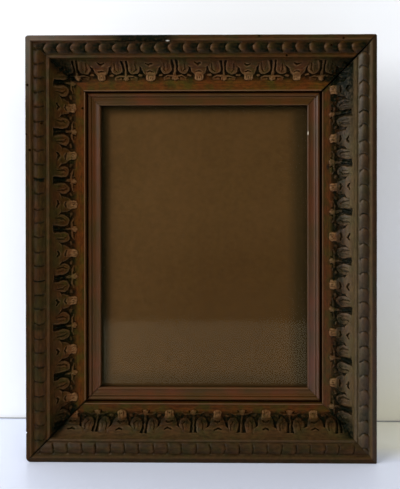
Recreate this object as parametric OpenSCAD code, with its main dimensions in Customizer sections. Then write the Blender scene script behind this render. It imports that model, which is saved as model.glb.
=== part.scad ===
// Carved wooden picture frame: four mitred rails, an inner liner, glass and a closed back.
// The front faces -Y. The origin is the middle of the underside, halfway through the depth.

/* [Glass and back] */
// Width of the glass and of the card behind it
glass_w = 180; // [130:1:300]
// Height of the glass and of the card behind it
glass_h = 240; // [160:1:400]
// Thickness of the glass
glass_t = 2; // [1.5:0.1:4]
// Thickness of the brown backing card
card_t = 2; // [1:0.1:4]
// Thickness of the wooden back board
board_t = 5; // [3:0.5:12]
// Gap all round the glass and the card
glass_clear = 0.5; // [0.2:0.1:1.5]
// Gap all round the back board
board_clear = 0.5; // [0.2:0.1:1.5]

/* [Rail] */
// Width of a rail, from its outer edge to its sight edge
rail_w = 41.7; // [40:0.1:60]
// How far a rail laps over the liner
rail_lip = 5.7; // [4:0.1:8]
// Depth of the rail's lip behind the front of the frame
rail_lip_back = 20.5; // [19.5:0.1:28]
// Width of the flat outer rim
rim_w = 4.2; // [3:0.1:5]
// Width of the slope from the rim down towards the grooves' depth
rim_slope = 2.4; // [1.8:0.1:2.8]
// Depth of the grooves on both sides of the bead band
groove_t = 4; // [3.2:0.1:5]
// Distance of the bead band's middle from the outer edge
bead_at = 9; // [8.6:0.1:9.4]
// Radius of the bead band's low curve
bead_r = 6.3; // [5.8:0.1:6.6]
// Depth of the bead band's crest behind the front of the frame
bead_crest = 0.9; // [0.5:0.1:1.4]
// Width of the narrow fillet between the bead band and the cove
fillet_w = 2; // [1:0.1:3]
// Distance of the fillet's inner edge from the outer edge
fillet_at = 17.4; // [17:0.1:19]
// Depth of the fillet behind the front of the frame
fillet_t = 3; // [2:0.1:3.1]
// Depth of the cove's lower end behind the front of the frame
cove_t = 15.2; // [12:0.1:15.6]
// Width of the plain band from the cove to the sight edge
band_w = 6; // [4:0.1:9]
// Depth of the plain band behind the front of the frame
band_t = 16.4; // [15.8:0.1:17.5]
// Width of the raised arris along the sight edge
arris_w = 1; // [0.5:0.1:2]
// Height of the arris above the plain band
arris_h = 0.7; // [0.3:0.1:1.2]
// Gap between two rails, or two liner pieces, at a corner
mitre_gap = 0.3; // [0.1:0.1:1]

/* [Liner] */
// Width of the liner, from its outer edge to its sight edge
liner_w = 17.2; // [16:0.1:24]
// How far the liner laps over the glass
liner_lip = 6.4; // [4:0.1:8]
// Thickness of the liner's lip behind the rail's lip
liner_lip_t = 4.5; // [3:0.1:7]
// Gap between the liner's outer edge and the rail
liner_clear = 0.5; // [0.2:0.1:1.5]
// Width of the dark trench between the rail's sight edge and the liner's bead
trench_w = 1.9; // [1:0.1:2.5]
// Radius of the liner's bead
liner_bead_r = 1.7; // [1.2:0.1:1.9]
// Depth of the groove beside the liner's bead, below the liner's arris
liner_groove_t = 0.9; // [0.5:0.1:1.1]
// Height of the liner's sight arris above the seat of the rail's lip
liner_arris_h = 1.2; // [1.1:0.1:2]
// Width of the liner's sight arris
liner_arris_w = 0.9; // [0.5:0.1:1.5]
// Radius of the liner's shallow hollow
liner_hollow_r = 6; // [5:0.1:12]

/* [Nails and pins] */
// Radius of a corner nail's shank
nail_r = 0.9; // [0.7:0.1:1.4]
// Length of a corner nail
nail_l = 38; // [34:1:45]
// Radius of a corner nail's head
nail_head_r = 1.8; // [1.6:0.1:2.5]
// Thickness of a corner nail's head
nail_head_t = 0.6; // [0.4:0.1:1.2]
// How far a nail's head lies below the wood
nail_sunk = 0.4; // [0.1:0.1:1]
// Distance of the outer nail of a corner from the corner
nail_near = 10; // [8:0.5:12]
// Distance of the inner nail of a corner from the corner
nail_far = 24; // [18:0.5:28]
// Distance of the nails from the back of the rails
nail_up = 10; // [6:0.5:13]
// Radius of a liner pin
pin_r = 0.6; // [0.4:0.1:0.9]
// Length of a liner pin
pin_l = 18; // [15:0.5:22]
// Distance of a liner pin from the middle of a short side
pin_x = 35; // [20:1:40]
// Distance of a liner pin from the middle of a long side
pin_z = 70; // [30:1:75]
// Gap between a nail, a pin or a screw and its hole
fixing_clear = 0.05; // [0.02:0.01:0.1]

/* [Turn-buttons] */
// Thickness of a turn-button
button_t = 1.5; // [1:0.1:3]
// Half of a turn-button's width
button_r = 4.5; // [3.5:0.1:6]
// Distance between the round ends' middles
button_l = 15; // [10:0.5:20]
// Distance of a turn-button's pivot from the back board's rebate
button_in = 7; // [6.5:0.1:10]
// Distance of the upper and lower turn-buttons from the middle
button_x = 60; // [45:1:64]
// Gap over and under a turn-button, so that it turns
button_gap = 0.1; // [0.05:0.05:0.3]
// Gap between a turn-button's hole and its screw
button_run = 0.08; // [0.03:0.01:0.1]
// Radius of a turn-button screw's shank
screw_r = 1.5; // [1:0.1:2]
// Length of a screw in the wood
screw_l = 11; // [8:0.5:12]
// Radius of a screw's round head
screw_head_r = 3; // [2.4:0.1:3.4]
// Height of a screw's round head
screw_head_h = 1.8; // [1.2:0.1:2.3]
// Width and depth of a screw's slot
screw_slot = 0.8; // [0.5:0.1:1]

/* [Hanging eye and ring] */
// Distance of the eye from the top of the frame
eye_down = 12; // [10:0.5:14]
// Radius of the eye, to the middle of its wire
eye_r = 3; // [2.8:0.1:4]
// Radius of the eye's wire
eye_wire = 1; // [0.8:0.1:1.2]
// Distance from the back of the rail to the eye's wire
eye_out = 0.5; // [0.3:0.1:2]
// Radius of the eye's shank
eye_shank_r = 1.2; // [1:0.1:1.6]
// Length of the eye's shank in the wood
eye_shank_l = 12; // [8:0.5:14]
// Radius of the hanging ring, to the middle of its wire
ring_r = 10; // [8:0.5:11]
// Radius of the hanging ring's wire
ring_wire = 1.1; // [0.8:0.1:1.2]
// Gap between the hanging ring and the eye that it hangs in
ring_clear = 0.3; // [0.1:0.05:0.35]

/* [Hidden] */
$fn = 64;

// Distances in from the outer edge of the frame
rebate_at = rail_w - rail_lip;
liner_at = rebate_at + liner_clear;
sight_at = liner_at + liner_w;
glass_rebate_at = sight_at - liner_lip;
glass_at = glass_rebate_at + glass_clear;
pivot_at = rebate_at - button_in;

// Distances back from the front of the frame
liner_t = liner_lip_t + glass_t + card_t;
liner_lip_back = rail_lip_back + liner_lip_t;
liner_back = rail_lip_back + liner_t;
rail_t = liner_back + board_t;
pin_depth = (liner_lip_back + liner_back) / 2;

// Outer size of the frame
frame_w = glass_w + 2 * glass_at;
frame_h = glass_h + 2 * glass_at;
front_y = -rail_t / 2;
back_y = rail_t / 2;

// Section of the rail: the cove is an arc from the fillet's edge to the plain band
cove_at = rail_w - band_w;
cove_run = cove_at - fillet_at;
cove_drop = cove_t - fillet_t;
cove_r = (cove_run * cove_run + cove_drop * cove_drop) / (2 * cove_drop);

// Section of the liner, measured in from the liner's own outer edge
liner_bead_at = rail_lip - liner_clear + trench_w + liner_bead_r;
liner_arris_top = rail_lip_back - liner_arris_h;
liner_groove_at = liner_bead_at + liner_bead_r;
liner_hollow_at = (liner_groove_at + liner_w - liner_arris_w) / 2;
liner_hollow_half = liner_hollow_at - liner_groove_at;
liner_hollow_up = sqrt(pow(liner_hollow_r, 2) - pow(liner_hollow_half, 2));

// Eye and ring
eye_y = back_y + eye_out + eye_wire + eye_r;
eye_z = frame_h - eye_down;
ring_pivot_z = eye_z - eye_r + eye_wire + ring_clear + ring_wire;

WOOD = [0.24, 0.17, 0.11];
LINER_WOOD = [0.30, 0.21, 0.13];
BOARD_WOOD = [0.45, 0.32, 0.19];
CARD = [0.36, 0.25, 0.13];
GLASS = [0.80, 0.86, 0.84, 0.35];
IRON = [0.20, 0.19, 0.18];
BRASS = [0.62, 0.47, 0.22];

// Section of a rail as [distance back, distance in from the outer edge]
module rail_section() {
    difference() {
        polygon([
            [0, 0],
            [rail_t, 0],
            [rail_t, rebate_at],
            [rail_lip_back, rebate_at],
            [rail_lip_back, rail_w],
            [band_t - arris_h, rail_w],
            [band_t, rail_w - arris_w],
            [band_t, cove_at],
            [cove_t, cove_at],
            [fillet_t, fillet_at],
            [fillet_t, fillet_at - fillet_w],
            [groove_t, fillet_at - fillet_w - (groove_t - fillet_t)],
            [groove_t, rim_w + rim_slope],
            [0, rim_w]
        ]);
        translate([cove_t - cove_r, cove_at]) circle(r = cove_r);
    }
    translate([bead_crest + bead_r, bead_at]) circle(r = bead_r);
}

// Section of a liner piece as [distance back, distance in from the liner's outer edge]
module liner_section() {
    difference() {
        polygon([
            [rail_lip_back, 0],
            [liner_back, 0],
            [liner_back, liner_w - liner_lip],
            [liner_lip_back, liner_w - liner_lip],
            [liner_lip_back, liner_w],
            [liner_arris_top, liner_w],
            [liner_arris_top, liner_groove_at + liner_groove_t],
            [liner_arris_top + liner_groove_t, liner_groove_at],
            [rail_lip_back, liner_groove_at]
        ]);
        translate([liner_arris_top + 0.1 - liner_hollow_up, liner_hollow_at]) circle(r = liner_hollow_r);
    }
    translate([rail_lip_back, liner_bead_at]) circle(r = liner_bead_r);
}

// A bar along X with its outer edge at z = 0, cut at 45 degrees at both ends
module mitred_bar(length, width) {
    cut = mitre_gap / sqrt(2);
    over = 1;
    intersection() {
        translate([0, front_y, 0]) rotate([90, 0, 90])
            linear_extrude(length, center = true) children();
        rotate([90, 0, 0]) linear_extrude(rail_t + 2 * over, center = true)
            polygon([
                [-length / 2 + cut - over, -over],
                [length / 2 - cut + over, -over],
                [length / 2 - cut - width - over, width + over],
                [-length / 2 + cut + width + over, width + over]
            ]);
    }
}

// Turns a bar at z = 0 to its side of the frame: 0 bottom, 90 left, 180 top, 270 right
module on_side(angle, in = 0) {
    half = (angle % 180 == 0 ? frame_h : frame_w) / 2 - in;
    translate([0, 0, frame_h / 2]) rotate([0, angle, 0]) translate([0, 0, -half]) children();
}

module rail(angle) {
    color(WOOD) difference() {
        on_side(angle) mitred_bar(angle % 180 == 0 ? frame_w : frame_h, rail_w) rail_section();
        each_nail() nail(fixing_clear);
        each_pin() pin(fixing_clear);
        each_button() button_screw(fixing_clear);
        eye_place() eye_shank(fixing_clear);
    }
}

module liner(angle) {
    outer = (angle % 180 == 0 ? frame_w : frame_h) - 2 * liner_at;
    color(LINER_WOOD) difference() {
        on_side(angle, liner_at) mitred_bar(outer, liner_w) liner_section();
        each_pin() pin(fixing_clear);
    }
}

// A flat sheet in the frame, with its front face at a distance back from the front
module sheet(w, h, t, depth) {
    translate([-w / 2, front_y + depth, (frame_h - h) / 2]) cube([w, t, h]);
}

module glass_pane() {
    color(GLASS) sheet(glass_w, glass_h, glass_t, liner_lip_back);
}

module backing_card() {
    color(CARD) sheet(glass_w, glass_h, card_t, liner_lip_back + glass_t);
}

module back_board() {
    inset = rebate_at + board_clear;
    color(BOARD_WOOD) sheet(frame_w - 2 * inset, frame_h - 2 * inset, board_t, liner_back);
}

// Puts a thing that points along +Z at each corner nail, driven in from the left or right
module each_nail() {
    for (side = [-1, 1], z = [nail_near, nail_far, frame_h - nail_far, frame_h - nail_near])
        translate([side * frame_w / 2, back_y - nail_up, z]) rotate([0, -side * 90, 0]) children();
}

module nail(grow = 0) {
    start = grow > 0 ? -1 : nail_sunk;
    translate([0, 0, start])
        cylinder(h = nail_sunk + nail_head_t - start, r = nail_head_r + grow);
    translate([0, 0, nail_sunk]) cylinder(h = nail_l + grow, r = nail_r + grow);
}

module corner_nails() {
    color(IRON) each_nail() nail();
}

// Puts a thing that points outwards along -Z at each liner pin, from the glass rebate's wall
module each_pin() {
    for (angle = [0, 180], x = [-pin_x, pin_x])
        on_side(angle, glass_rebate_at) translate([x, front_y + pin_depth, 0]) children();
    for (angle = [90, 270], x = [-pin_z, pin_z])
        on_side(angle, glass_rebate_at) translate([x, front_y + pin_depth, 0]) children();
}

module pin(grow = 0) {
    translate([0, 0, -pin_l - grow]) cylinder(h = pin_l + 2 * grow, r = pin_r + grow);
}

module liner_pins() {
    color(IRON) each_pin() pin();
}

// Places of the turn-buttons as [side of the frame, distance along it]
BUTTONS = [
    [90, 0], [270, 0],
    [180, button_x], [180, -button_x],
    [0, -button_x], [0, button_x]
];

// Puts a thing at a turn-button's pivot on the back of a rail, with the board along its +Z
module button_place(i) {
    on_side(BUTTONS[i][0], pivot_at) translate([BUTTONS[i][1], back_y, 0]) children();
}

module each_button() {
    for (i = [0 : len(BUTTONS) - 1]) button_place(i) children();
}

module along_y(from, to, r) {
    translate([0, from, 0]) rotate([-90, 0, 0]) cylinder(h = to - from, r = r);
}

module turn_button(i) {
    low = button_gap;
    high = button_gap + button_t;
    color(BRASS) button_place(i) difference() {
        union() {
            along_y(low, high, button_r);
            translate([0, 0, button_l]) along_y(low, high, button_r);
            translate([-button_r, low, 0]) cube([2 * button_r, button_t, button_l]);
        }
        along_y(low - 1, high + 1, screw_r + button_run);
    }
}

// A round-headed screw at the pivot: its head stands clear of the turn-button
module button_screw(grow = 0) {
    seat = button_t + 2 * button_gap;
    dome_r = (screw_head_r * screw_head_r + screw_head_h * screw_head_h) / (2 * screw_head_h);
    along_y(-screw_l - grow, seat + screw_head_h / 4, screw_r + grow);
    if (grow == 0) difference() {
        intersection() {
            translate([0, seat + screw_head_h - dome_r, 0]) sphere(r = dome_r);
            along_y(seat, seat + screw_head_h + 1, screw_head_r + 1);
        }
        translate([-screw_head_r - 1, seat + screw_head_h - screw_slot, -screw_slot / 2])
            cube([2 * screw_head_r + 2, screw_slot + 1, screw_slot]);
    }
}

module turn_button_screws() {
    color(BRASS) each_button() button_screw();
}

module eye_place() {
    translate([0, eye_y, eye_z]) children();
}

module eye_shank(grow = 0) {
    along_y(back_y - eye_y - eye_shank_l - grow, -eye_r, eye_shank_r + grow);
}

module hanging_eye() {
    color(IRON) eye_place() {
        rotate([0, 90, 0]) rotate_extrude() translate([eye_r, 0]) circle(r = eye_wire);
        eye_shank();
    }
}

module hanging_ring() {
    color(BRASS) translate([0, eye_y, ring_pivot_z - ring_r]) rotate([90, 0, 0])
        rotate_extrude() translate([ring_r, 0]) circle(r = ring_wire);
}

rail(180);  // top_rail
rail(0);  // bottom_rail
rail(90);  // left_rail
rail(270);  // right_rail
liner(180);  // liner_top
liner(0);  // liner_bottom
liner(90);  // liner_left
liner(270);  // liner_right
glass_pane();
backing_card();
back_board();
corner_nails();
liner_pins();
turn_button(0);  // turn_button_left
turn_button(1);  // turn_button_right
turn_button(2);  // turn_button_top_left
turn_button(3);  // turn_button_top_right
turn_button(4);  // turn_button_bottom_left
turn_button(5);  // turn_button_bottom_right
turn_button_screws();
hanging_eye();
hanging_ring();
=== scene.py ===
import math
import bmesh
import bpy
import mathutils
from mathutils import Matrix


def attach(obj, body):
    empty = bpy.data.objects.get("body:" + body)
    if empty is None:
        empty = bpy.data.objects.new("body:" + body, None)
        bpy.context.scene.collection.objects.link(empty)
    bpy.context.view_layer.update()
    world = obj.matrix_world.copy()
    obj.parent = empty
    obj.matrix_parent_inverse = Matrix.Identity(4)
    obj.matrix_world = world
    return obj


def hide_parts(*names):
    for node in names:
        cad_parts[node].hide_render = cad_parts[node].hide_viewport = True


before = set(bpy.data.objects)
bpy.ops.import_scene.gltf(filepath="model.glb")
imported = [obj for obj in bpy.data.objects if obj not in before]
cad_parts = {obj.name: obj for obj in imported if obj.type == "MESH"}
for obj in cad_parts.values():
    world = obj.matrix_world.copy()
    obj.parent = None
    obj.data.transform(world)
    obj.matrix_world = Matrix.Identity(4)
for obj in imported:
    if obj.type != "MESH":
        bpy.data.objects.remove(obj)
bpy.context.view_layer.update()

# Carved rails
# Four rails of dark stained and waxed oak, run from one moulding and mitred at the corners. The row of
# leaves in the cove and the blocks of the bead are cut by hand with gouges, and run on to the mitres.
MM = 0.001
FRAME_W, FRAME_H, FRAME_T = 275.6, 335.6, 34.0
SIDES = {"bottom": 0, "left": 90, "top": 180, "right": 270}


def linear(hex_colour, alpha=1.0):
    """An sRGB hex colour as linear RGBA."""
    parts = [int(hex_colour[i:i + 2], 16) / 255 for i in (1, 3, 5)]
    return (*[p / 12.92 if p <= 0.04045 else ((p + 0.055) / 1.055) ** 2.4 for p in parts], alpha)


def add(kind, inputs=None, **settings):
    """Adds a node to the tree in hand, sets its settings, and links or fills its inputs.

    A node given as an input means its first output. The tree in hand is what the name tree stands for."""
    node = tree.nodes.new(kind)
    for name, value in settings.items():
        setattr(node, name, value)
    for key, value in (inputs or {}).items():
        for item in value if isinstance(value, list) else [value]:
            if isinstance(item, bpy.types.Node):
                item = item.outputs[0]
            if isinstance(item, bpy.types.NodeSocket):
                tree.links.new(item, node.inputs[key])
            else:
                node.inputs[key].default_value = item
    return node


def new_tree(name, inputs, outputs=(("Geometry", "Geometry"),)):
    """An empty node tree with named inputs and outputs, each a name and a kind."""
    group = bpy.data.node_groups.new(name, "GeometryNodeTree")
    for way, sockets in (("INPUT", inputs), ("OUTPUT", outputs)):
        for socket, kind in sockets:
            group.interface.new_socket(socket, in_out=way, socket_type="NodeSocket" + kind)
    return group


# One cut or one raised form of the carving: a tapered stroke with a flat or crowned top and steep walls.
STROKE_INPUTS = {
    "Vector": ("Place", "From", "To"),
    "Float": ("Height", "First half width", "Last half width", "Level", "Crown", "Wall slope", "Raised")}
tree = stroke = new_tree("Carved stroke",
                         [(n, kind) for kind, names in STROKE_INPUTS.items() for n in names],
                         (("Height", "Float"), ("Inside", "Float")))
given = add("NodeGroupInput")
reach = add("ShaderNodeVectorMath", {
    0: given.outputs["Place"], 1: given.outputs["From"]}, operation="SUBTRACT")
line = add("ShaderNodeVectorMath", {0: given.outputs["To"], 1: given.outputs["From"]}, operation="SUBTRACT")
on_line = add("ShaderNodeVectorMath", {0: reach, 1: line}, operation="DOT_PRODUCT")
squared = add("ShaderNodeVectorMath", {0: line, 1: line}, operation="DOT_PRODUCT")
share = add("ShaderNodeMath", {
    0: on_line.outputs["Value"], 1: squared.outputs["Value"]}, operation="DIVIDE", use_clamp=True)
foot = add("ShaderNodeVectorMath", {0: line, "Scale": share}, operation="SCALE")
off = add("ShaderNodeVectorMath", {0: reach, 1: foot}, operation="DISTANCE")
half = add("ShaderNodeMix", {
    0: share, 2: given.outputs["First half width"], 3: given.outputs["Last half width"]})
outside = add("ShaderNodeMath", {0: off.outputs["Value"], 1: half}, operation="SUBTRACT")
wall = add("ShaderNodeMath", {0: outside, 1: 0.0}, operation="MAXIMUM")
steep = add("ShaderNodeMath", {0: wall, 1: given.outputs["Wall slope"]}, operation="MULTIPLY")
rim_share = add("ShaderNodeMath", {0: off.outputs["Value"], 1: half}, operation="DIVIDE", use_clamp=True)
bowed = add("ShaderNodeMath", {0: rim_share, 1: 2.0}, operation="POWER")
crown = add("ShaderNodeMath", {0: bowed, 1: given.outputs["Crown"], 2: steep}, operation="MULTIPLY_ADD")
signed = add("ShaderNodeMath", {0: given.outputs["Level"], 1: given.outputs["Raised"]}, operation="MULTIPLY")
form = add("ShaderNodeMath", {0: signed, 1: crown}, operation="SUBTRACT")
before = add("ShaderNodeMath", {
    0: given.outputs["Height"], 1: given.outputs["Raised"]}, operation="MULTIPLY")
higher = add("ShaderNodeMath", {0: before, 1: form}, operation="MAXIMUM")
result = add("ShaderNodeMath", {0: higher, 1: given.outputs["Raised"]}, operation="MULTIPLY")
inside = add("ShaderNodeMapRange", {0: outside, 1: 0.2, 2: -0.3})
add("NodeGroupOutput", {"Height": result, "Inside": inside})

# One repeat of the leaf row, in millimetres: along from the stem's middle to the husk's, and in from the
# frame's outer edge. Each row gives the stroke's two ends, half widths, level and crown, 1 raised or -1 cut,
# and 1 where its top is rubbed bare.
HALF_LEAF = 19.6
LEAF_STROKES = [
    ((-9, 8.9), (29, 8.9), 10.0, 10.0, 0.0, 0.0, 1, 0),
    ((15.0, 18.6), (19.6, 18.6), 5.4, 5.4, 0.0, 0.0, 1, 0),
    ((19.6, 22.0), (19.6, 24.6), 8.0, 6.4, -0.05, 0.8, 1, 0),
    ((6.8, 18.5), (6.8, 24.7), 3.6, 4.5, 0.0, 0.55, 1, 0),
    ((8.3, 21.0), (8.4, 25.0), 0.35, 0.65, -0.95, 0.0, -1, 0),
    ((8.4, 25.0), (6.6, 27.2), 0.55, 0.2, -0.85, 0.0, -1, 0),
    ((5.2, 21.6), (5.4, 25.6), 0.2, 0.3, -0.5, 0.0, -1, 0),
    ((19.6, 28.8), (19.6, 31.6), 3.6, 3.3, 0.25, 0.7, 1, 1),
    ((18.2, 32.4), (19.6, 32.4), 2.2, 2.2, 0.45, 0.7, 1, 1),
    ((17.2, 20.9), (19.6, 22.1), 0.3, 0.55, -1.9, 0.0, -1, 0),
    ((17.3, 27.1), (19.6, 26.4), 0.3, 0.5, -1.6, 0.0, -1, 0),
    ((18.0, 29.8), (17.9, 34.0), 0.2, 0.3, -0.35, 0.0, -1, 0),
    ((19.6, 32.0), (19.6, 32.6), 0.35, 0.3, -0.5, 0.0, -1, 0),
    ((0.0, 17.5), (0.0, 26.5), 0.85, 0.7, -1.0, 0.2, 1, 0),
    ((0.0, 26.5), (0.0, 31.4), 0.75, 1.25, -0.6, 0.2, 1, 0),
    ((0.0, 32.1), (0.0, 33.4), 1.8, 1.5, 0.05, 0.6, 1, 0.5),
    ((1.7, 32.8), (1.9, 33.3), 0.9, 0.7, 0.0, 0.3, 1, 0),
    ((0.8, 31.1), (5.6, 31.0), 0.75, 0.65, -0.35, 0.25, 1, 0),
    ((5.6, 31.0), (8.6, 32.2), 0.65, 0.4, -0.6, 0.25, 1, 0),
    ((3.6, 33.2), (8.0, 33.4), 0.9, 1.0, -1.0, 0.2, 1, 0),
    ((10.4, 30.0), (12.2, 30.4), 0.8, 0.8, -0.9, 0.3, 1, 0),
    ((2.9, 32.6), (3.3, 33.4), 0.4, 0.3, -2.0, 0.0, -1, 0),
]
LEAF_WALL_SLOPE = 8.0

MOULDING_INPUTS = {
    "Geometry": ("Geometry",), "Int": ("Columns",), "Material": ("Material",),
    "Vector": ("Rim patch", "Groove patch", "Chip place", "Mark place"),
    "Float": (
        "Length", "Start gap", "End gap", "Start opening", "End opening", "Start dirt", "End dirt",
        "Start corner wear", "End corner wear", "Start corner shade", "End corner shade",
        "Start corner rub", "End corner rub", "Leaf pitch", "Leaf start", "Bead pitch", "Bead start",
        "Bead depth", "Unevenness", "Edge", "Turn", "Seed", "Grime", "Lower dirt and shade", "Lower dirt and shade from",
        "Lower dirt and shade full", "Bead grime", "Bead bow", "Grime reach", "Grime full", "Wax", "Film",
        "Tip shift", "Wear", "Shift", "Shift from", "Shift to", "Shift least", "Root shift",
        "Stem grime", "Bead rub", "Haze")}
tree = moulding = new_tree("Mitred moulding",
                           [(n, kind) for kind, names in MOULDING_INPUTS.items() for n in names])
given = add("NodeGroupInput").outputs

# Stretches of the section over which a form starts or ends, in millimetres: the first two back from the
# front, the others in from the outer edge.
FRONT_ENDS, CRACK_CLOSES = (17.2, 16.8), (15.5, 24.0)
CRACK_WIDENS, CRACK_MOST = (2.5, 9.0), 36.0
BEAD_EDGES, BEAD_STARTS, BEAD_ENDS = (5.4, 14.4), (5.45, 6.1), (13.5, 14.35)
COVE_STARTS, COVE_ENDS = (17.4, 18.4), 35.72
LEAF_ROOTS, LEAF_TIPS = (22.0, 27.0), (25.0, 31.5)

# The section is swept along a straight line, and each point keeps its place in the section.
section = add("GeometryNodeMeshToCurve", {0: given["Geometry"]})
line = add("GeometryNodeCurvePrimitiveLine", {"Start": (-1, 0, 0), "End": (1, 0, 0)})
path = add("GeometryNodeResampleCurve", {"Curve": line, "Count": given["Columns"]})
path_x = add("ShaderNodeSeparateXYZ", {0: add("GeometryNodeInputPosition")})
marked = add("GeometryNodeStoreNamedAttribute", {"Geometry": path, "Name": "lengthwise", "Value": path_x},
             data_type="FLOAT", domain="POINT")
swept = add("GeometryNodeCurveToMesh", {"Curve": marked, "Profile Curve": section, "Fill Caps": True})
lengthwise = add("GeometryNodeInputNamedAttribute", {0: "lengthwise"}, data_type="FLOAT")
place = add("ShaderNodeSeparateXYZ", {
    0: add("GeometryNodeInputNamedAttribute", {0: "section_place"}, data_type="FLOAT_VECTOR")})
outward = add("GeometryNodeInputNamedAttribute", {0: "section_normal"}, data_type="FLOAT_VECTOR")
across, depth = place.outputs[0], place.outputs[1]
towards_end = add("ShaderNodeMath", {0: lengthwise, 1: 0.0}, operation="GREATER_THAN")


def at_this_end(name):
    """The value that the piece has at the mitre on this point's side."""
    return add("ShaderNodeMix", {0: towards_end, 2: given["Start " + name], 3: given["End " + name]})


gap = at_this_end("gap")
opening = at_this_end("opening")
mitre_dirt = at_this_end("dirt")
half_length = add("ShaderNodeMath", {0: given["Length"], 1: 0.5}, operation="MULTIPLY")
front = add("ShaderNodeMapRange", {0: depth, 1: FRONT_ENDS[0], 2: FRONT_ENDS[1]})
crack = add("ShaderNodeMapRange", {0: depth, 1: CRACK_CLOSES[0], 2: CRACK_CLOSES[1], 3: 1.0, 4: 0.0})
crack_open = add("ShaderNodeMath", {0: crack, 1: opening}, operation="MULTIPLY")


def opened(across_now):
    """How far the mitre stands open at this distance in from the outer edge."""
    reach = add("ShaderNodeMapRange", {
        0: across_now, 1: CRACK_WIDENS[0], 2: CRACK_WIDENS[1], 3: 0.0, 4: CRACK_MOST})
    return add("ShaderNodeMath", {0: reach, 1: crack_open}, operation="MULTIPLY")


def mitred(across_now):
    """How far along the rail a point at this distance in from the outer edge lies."""
    open_by = add("ShaderNodeMath", {0: opened(across_now), 1: gap}, operation="ADD")
    to_edge = add("ShaderNodeMath", {0: half_length, 1: across_now}, operation="SUBTRACT")
    reach_now = add("ShaderNodeMath", {0: to_edge, 1: open_by}, operation="SUBTRACT")
    return add("ShaderNodeMath", {0: reach_now, 1: lengthwise}, operation="MULTIPLY")


along = mitred(across)
flat = add("ShaderNodeCombineXYZ", {0: along, 1: across, 2: given["Seed"]})

# The carver's hand: no two leaves have quite the same place or outline.
drift = add("ShaderNodeTexNoise", {"Vector": flat, "Scale": 0.075, "Detail": 1.5})
shake = add("ShaderNodeTexNoise", {"Vector": flat, "Scale": 0.35, "Detail": 1.0})
drift_by = add("ShaderNodeVectorMath", {0: drift.outputs["Color"], 1: (0.5, 0.5, 0.5)}, operation="SUBTRACT")
shake_by = add("ShaderNodeVectorMath", {0: shake.outputs["Color"], 1: (0.5, 0.5, 0.5)}, operation="SUBTRACT")
drift_mm = add("ShaderNodeVectorMath", {0: drift_by, 1: (4.2, 2.2, 0)}, operation="MULTIPLY")
drawn = add("ShaderNodeVectorMath", {0: shake_by, 1: (1.5, 1.2, 0), 2: drift_mm}, operation="MULTIPLY_ADD")
hand = add("ShaderNodeSeparateXYZ", {0: add("ShaderNodeVectorMath", {0: flat, 1: drawn}, operation="ADD")})

# Leaves: each repeat is folded about its stem.
from_start = add("ShaderNodeMath", {0: hand, 1: given["Leaf start"]}, operation="SUBTRACT")
repeats = add("ShaderNodeMath", {0: from_start, 1: given["Leaf pitch"]}, operation="DIVIDE")
folded = add("ShaderNodeMath", {0: repeats, 1: 0.5}, operation="PINGPONG")
leaf_along = add("ShaderNodeMath", {0: folded, 1: 2 * HALF_LEAF}, operation="MULTIPLY")
tip_share = add("ShaderNodeMapRange", {0: hand.outputs[1], 1: LEAF_TIPS[0], 2: LEAF_TIPS[1]})
leaf_across = add("ShaderNodeMath", {0: tip_share, 1: given["Tip shift"]}, operation="MULTIPLY")
root_share = add("ShaderNodeMapRange", {
    0: hand.outputs[1], 1: LEAF_ROOTS[0], 2: LEAF_ROOTS[1], 3: 1.0, 4: 0.0})
root_across = add("ShaderNodeMath", {
    0: root_share, 1: given["Root shift"], 2: leaf_across}, operation="MULTIPLY_ADD")
leaf_in = add("ShaderNodeMath", {0: hand.outputs[1], 1: root_across}, operation="SUBTRACT")
leaf_place = add("ShaderNodeCombineXYZ", {0: leaf_along, 1: leaf_in})
ground = add("ShaderNodeMapRange", {0: across, 1: 28.5, 2: 34.4, 3: -2.9, 4: -1.2})
height = ground.outputs[0]
worn = None
for start, end, first, last, level, crowned, raised, bare in LEAF_STROKES:
    step = add("GeometryNodeGroup", {
        "Height": height, "Place": leaf_place, "From": (*start, 0), "To": (*end, 0),
        "First half width": first, "Last half width": last, "Level": level, "Crown": crowned,
        "Wall slope": LEAF_WALL_SLOPE, "Raised": raised}, node_tree=stroke)
    height = step.outputs["Height"]
    if bare:
        shown = add("ShaderNodeMath", {0: step.outputs["Inside"], 1: bare}, operation="MULTIPLY")
        worn = shown if worn is None else add("ShaderNodeMath", {0: worn, 1: shown}, operation="MAXIMUM")
in_cove = add("ShaderNodeMapRange", {0: across, 1: COVE_STARTS[0], 2: COVE_STARTS[1]})
before_band = add("ShaderNodeMath", {0: across, 1: COVE_ENDS}, operation="LESS_THAN")
leaf_zone = add("ShaderNodeMath", {0: in_cove, 1: before_band}, operation="MULTIPLY")
leaf_front = add("ShaderNodeMath", {0: leaf_zone, 1: front}, operation="MULTIPLY")
leaf_relief = add("ShaderNodeMath", {0: height, 1: leaf_front}, operation="MULTIPLY")

# Bead: each block is a scale whose far end stands high, and a bowed cut parts it from the next one.
off_crest = add("ShaderNodeMapRange", {
    0: across, 1: BEAD_EDGES[0], 2: BEAD_EDGES[1], 3: -1.0, 4: 1.0}, clamp=False)
off_size = add("ShaderNodeMath", {0: off_crest}, operation="ABSOLUTE")
off_round = add("ShaderNodeMath", {0: off_size, 1: 2.6}, operation="POWER")
bow = add("ShaderNodeMath", {0: off_round, 1: given["Bead bow"], 2: hand}, operation="MULTIPLY_ADD")
bead_from = add("ShaderNodeMath", {0: bow, 1: given["Bead start"]}, operation="SUBTRACT")
blocks = add("ShaderNodeMath", {0: bead_from, 1: given["Bead pitch"]}, operation="DIVIDE")
in_block = add("ShaderNodeMath", {0: blocks}, operation="FRACT")
block_start = add("ShaderNodeMapRange", {
    0: in_block, 1: 0.02, 2: 0.11, 3: -0.9, 4: 0.0}, interpolation_type="SMOOTHSTEP")
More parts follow.
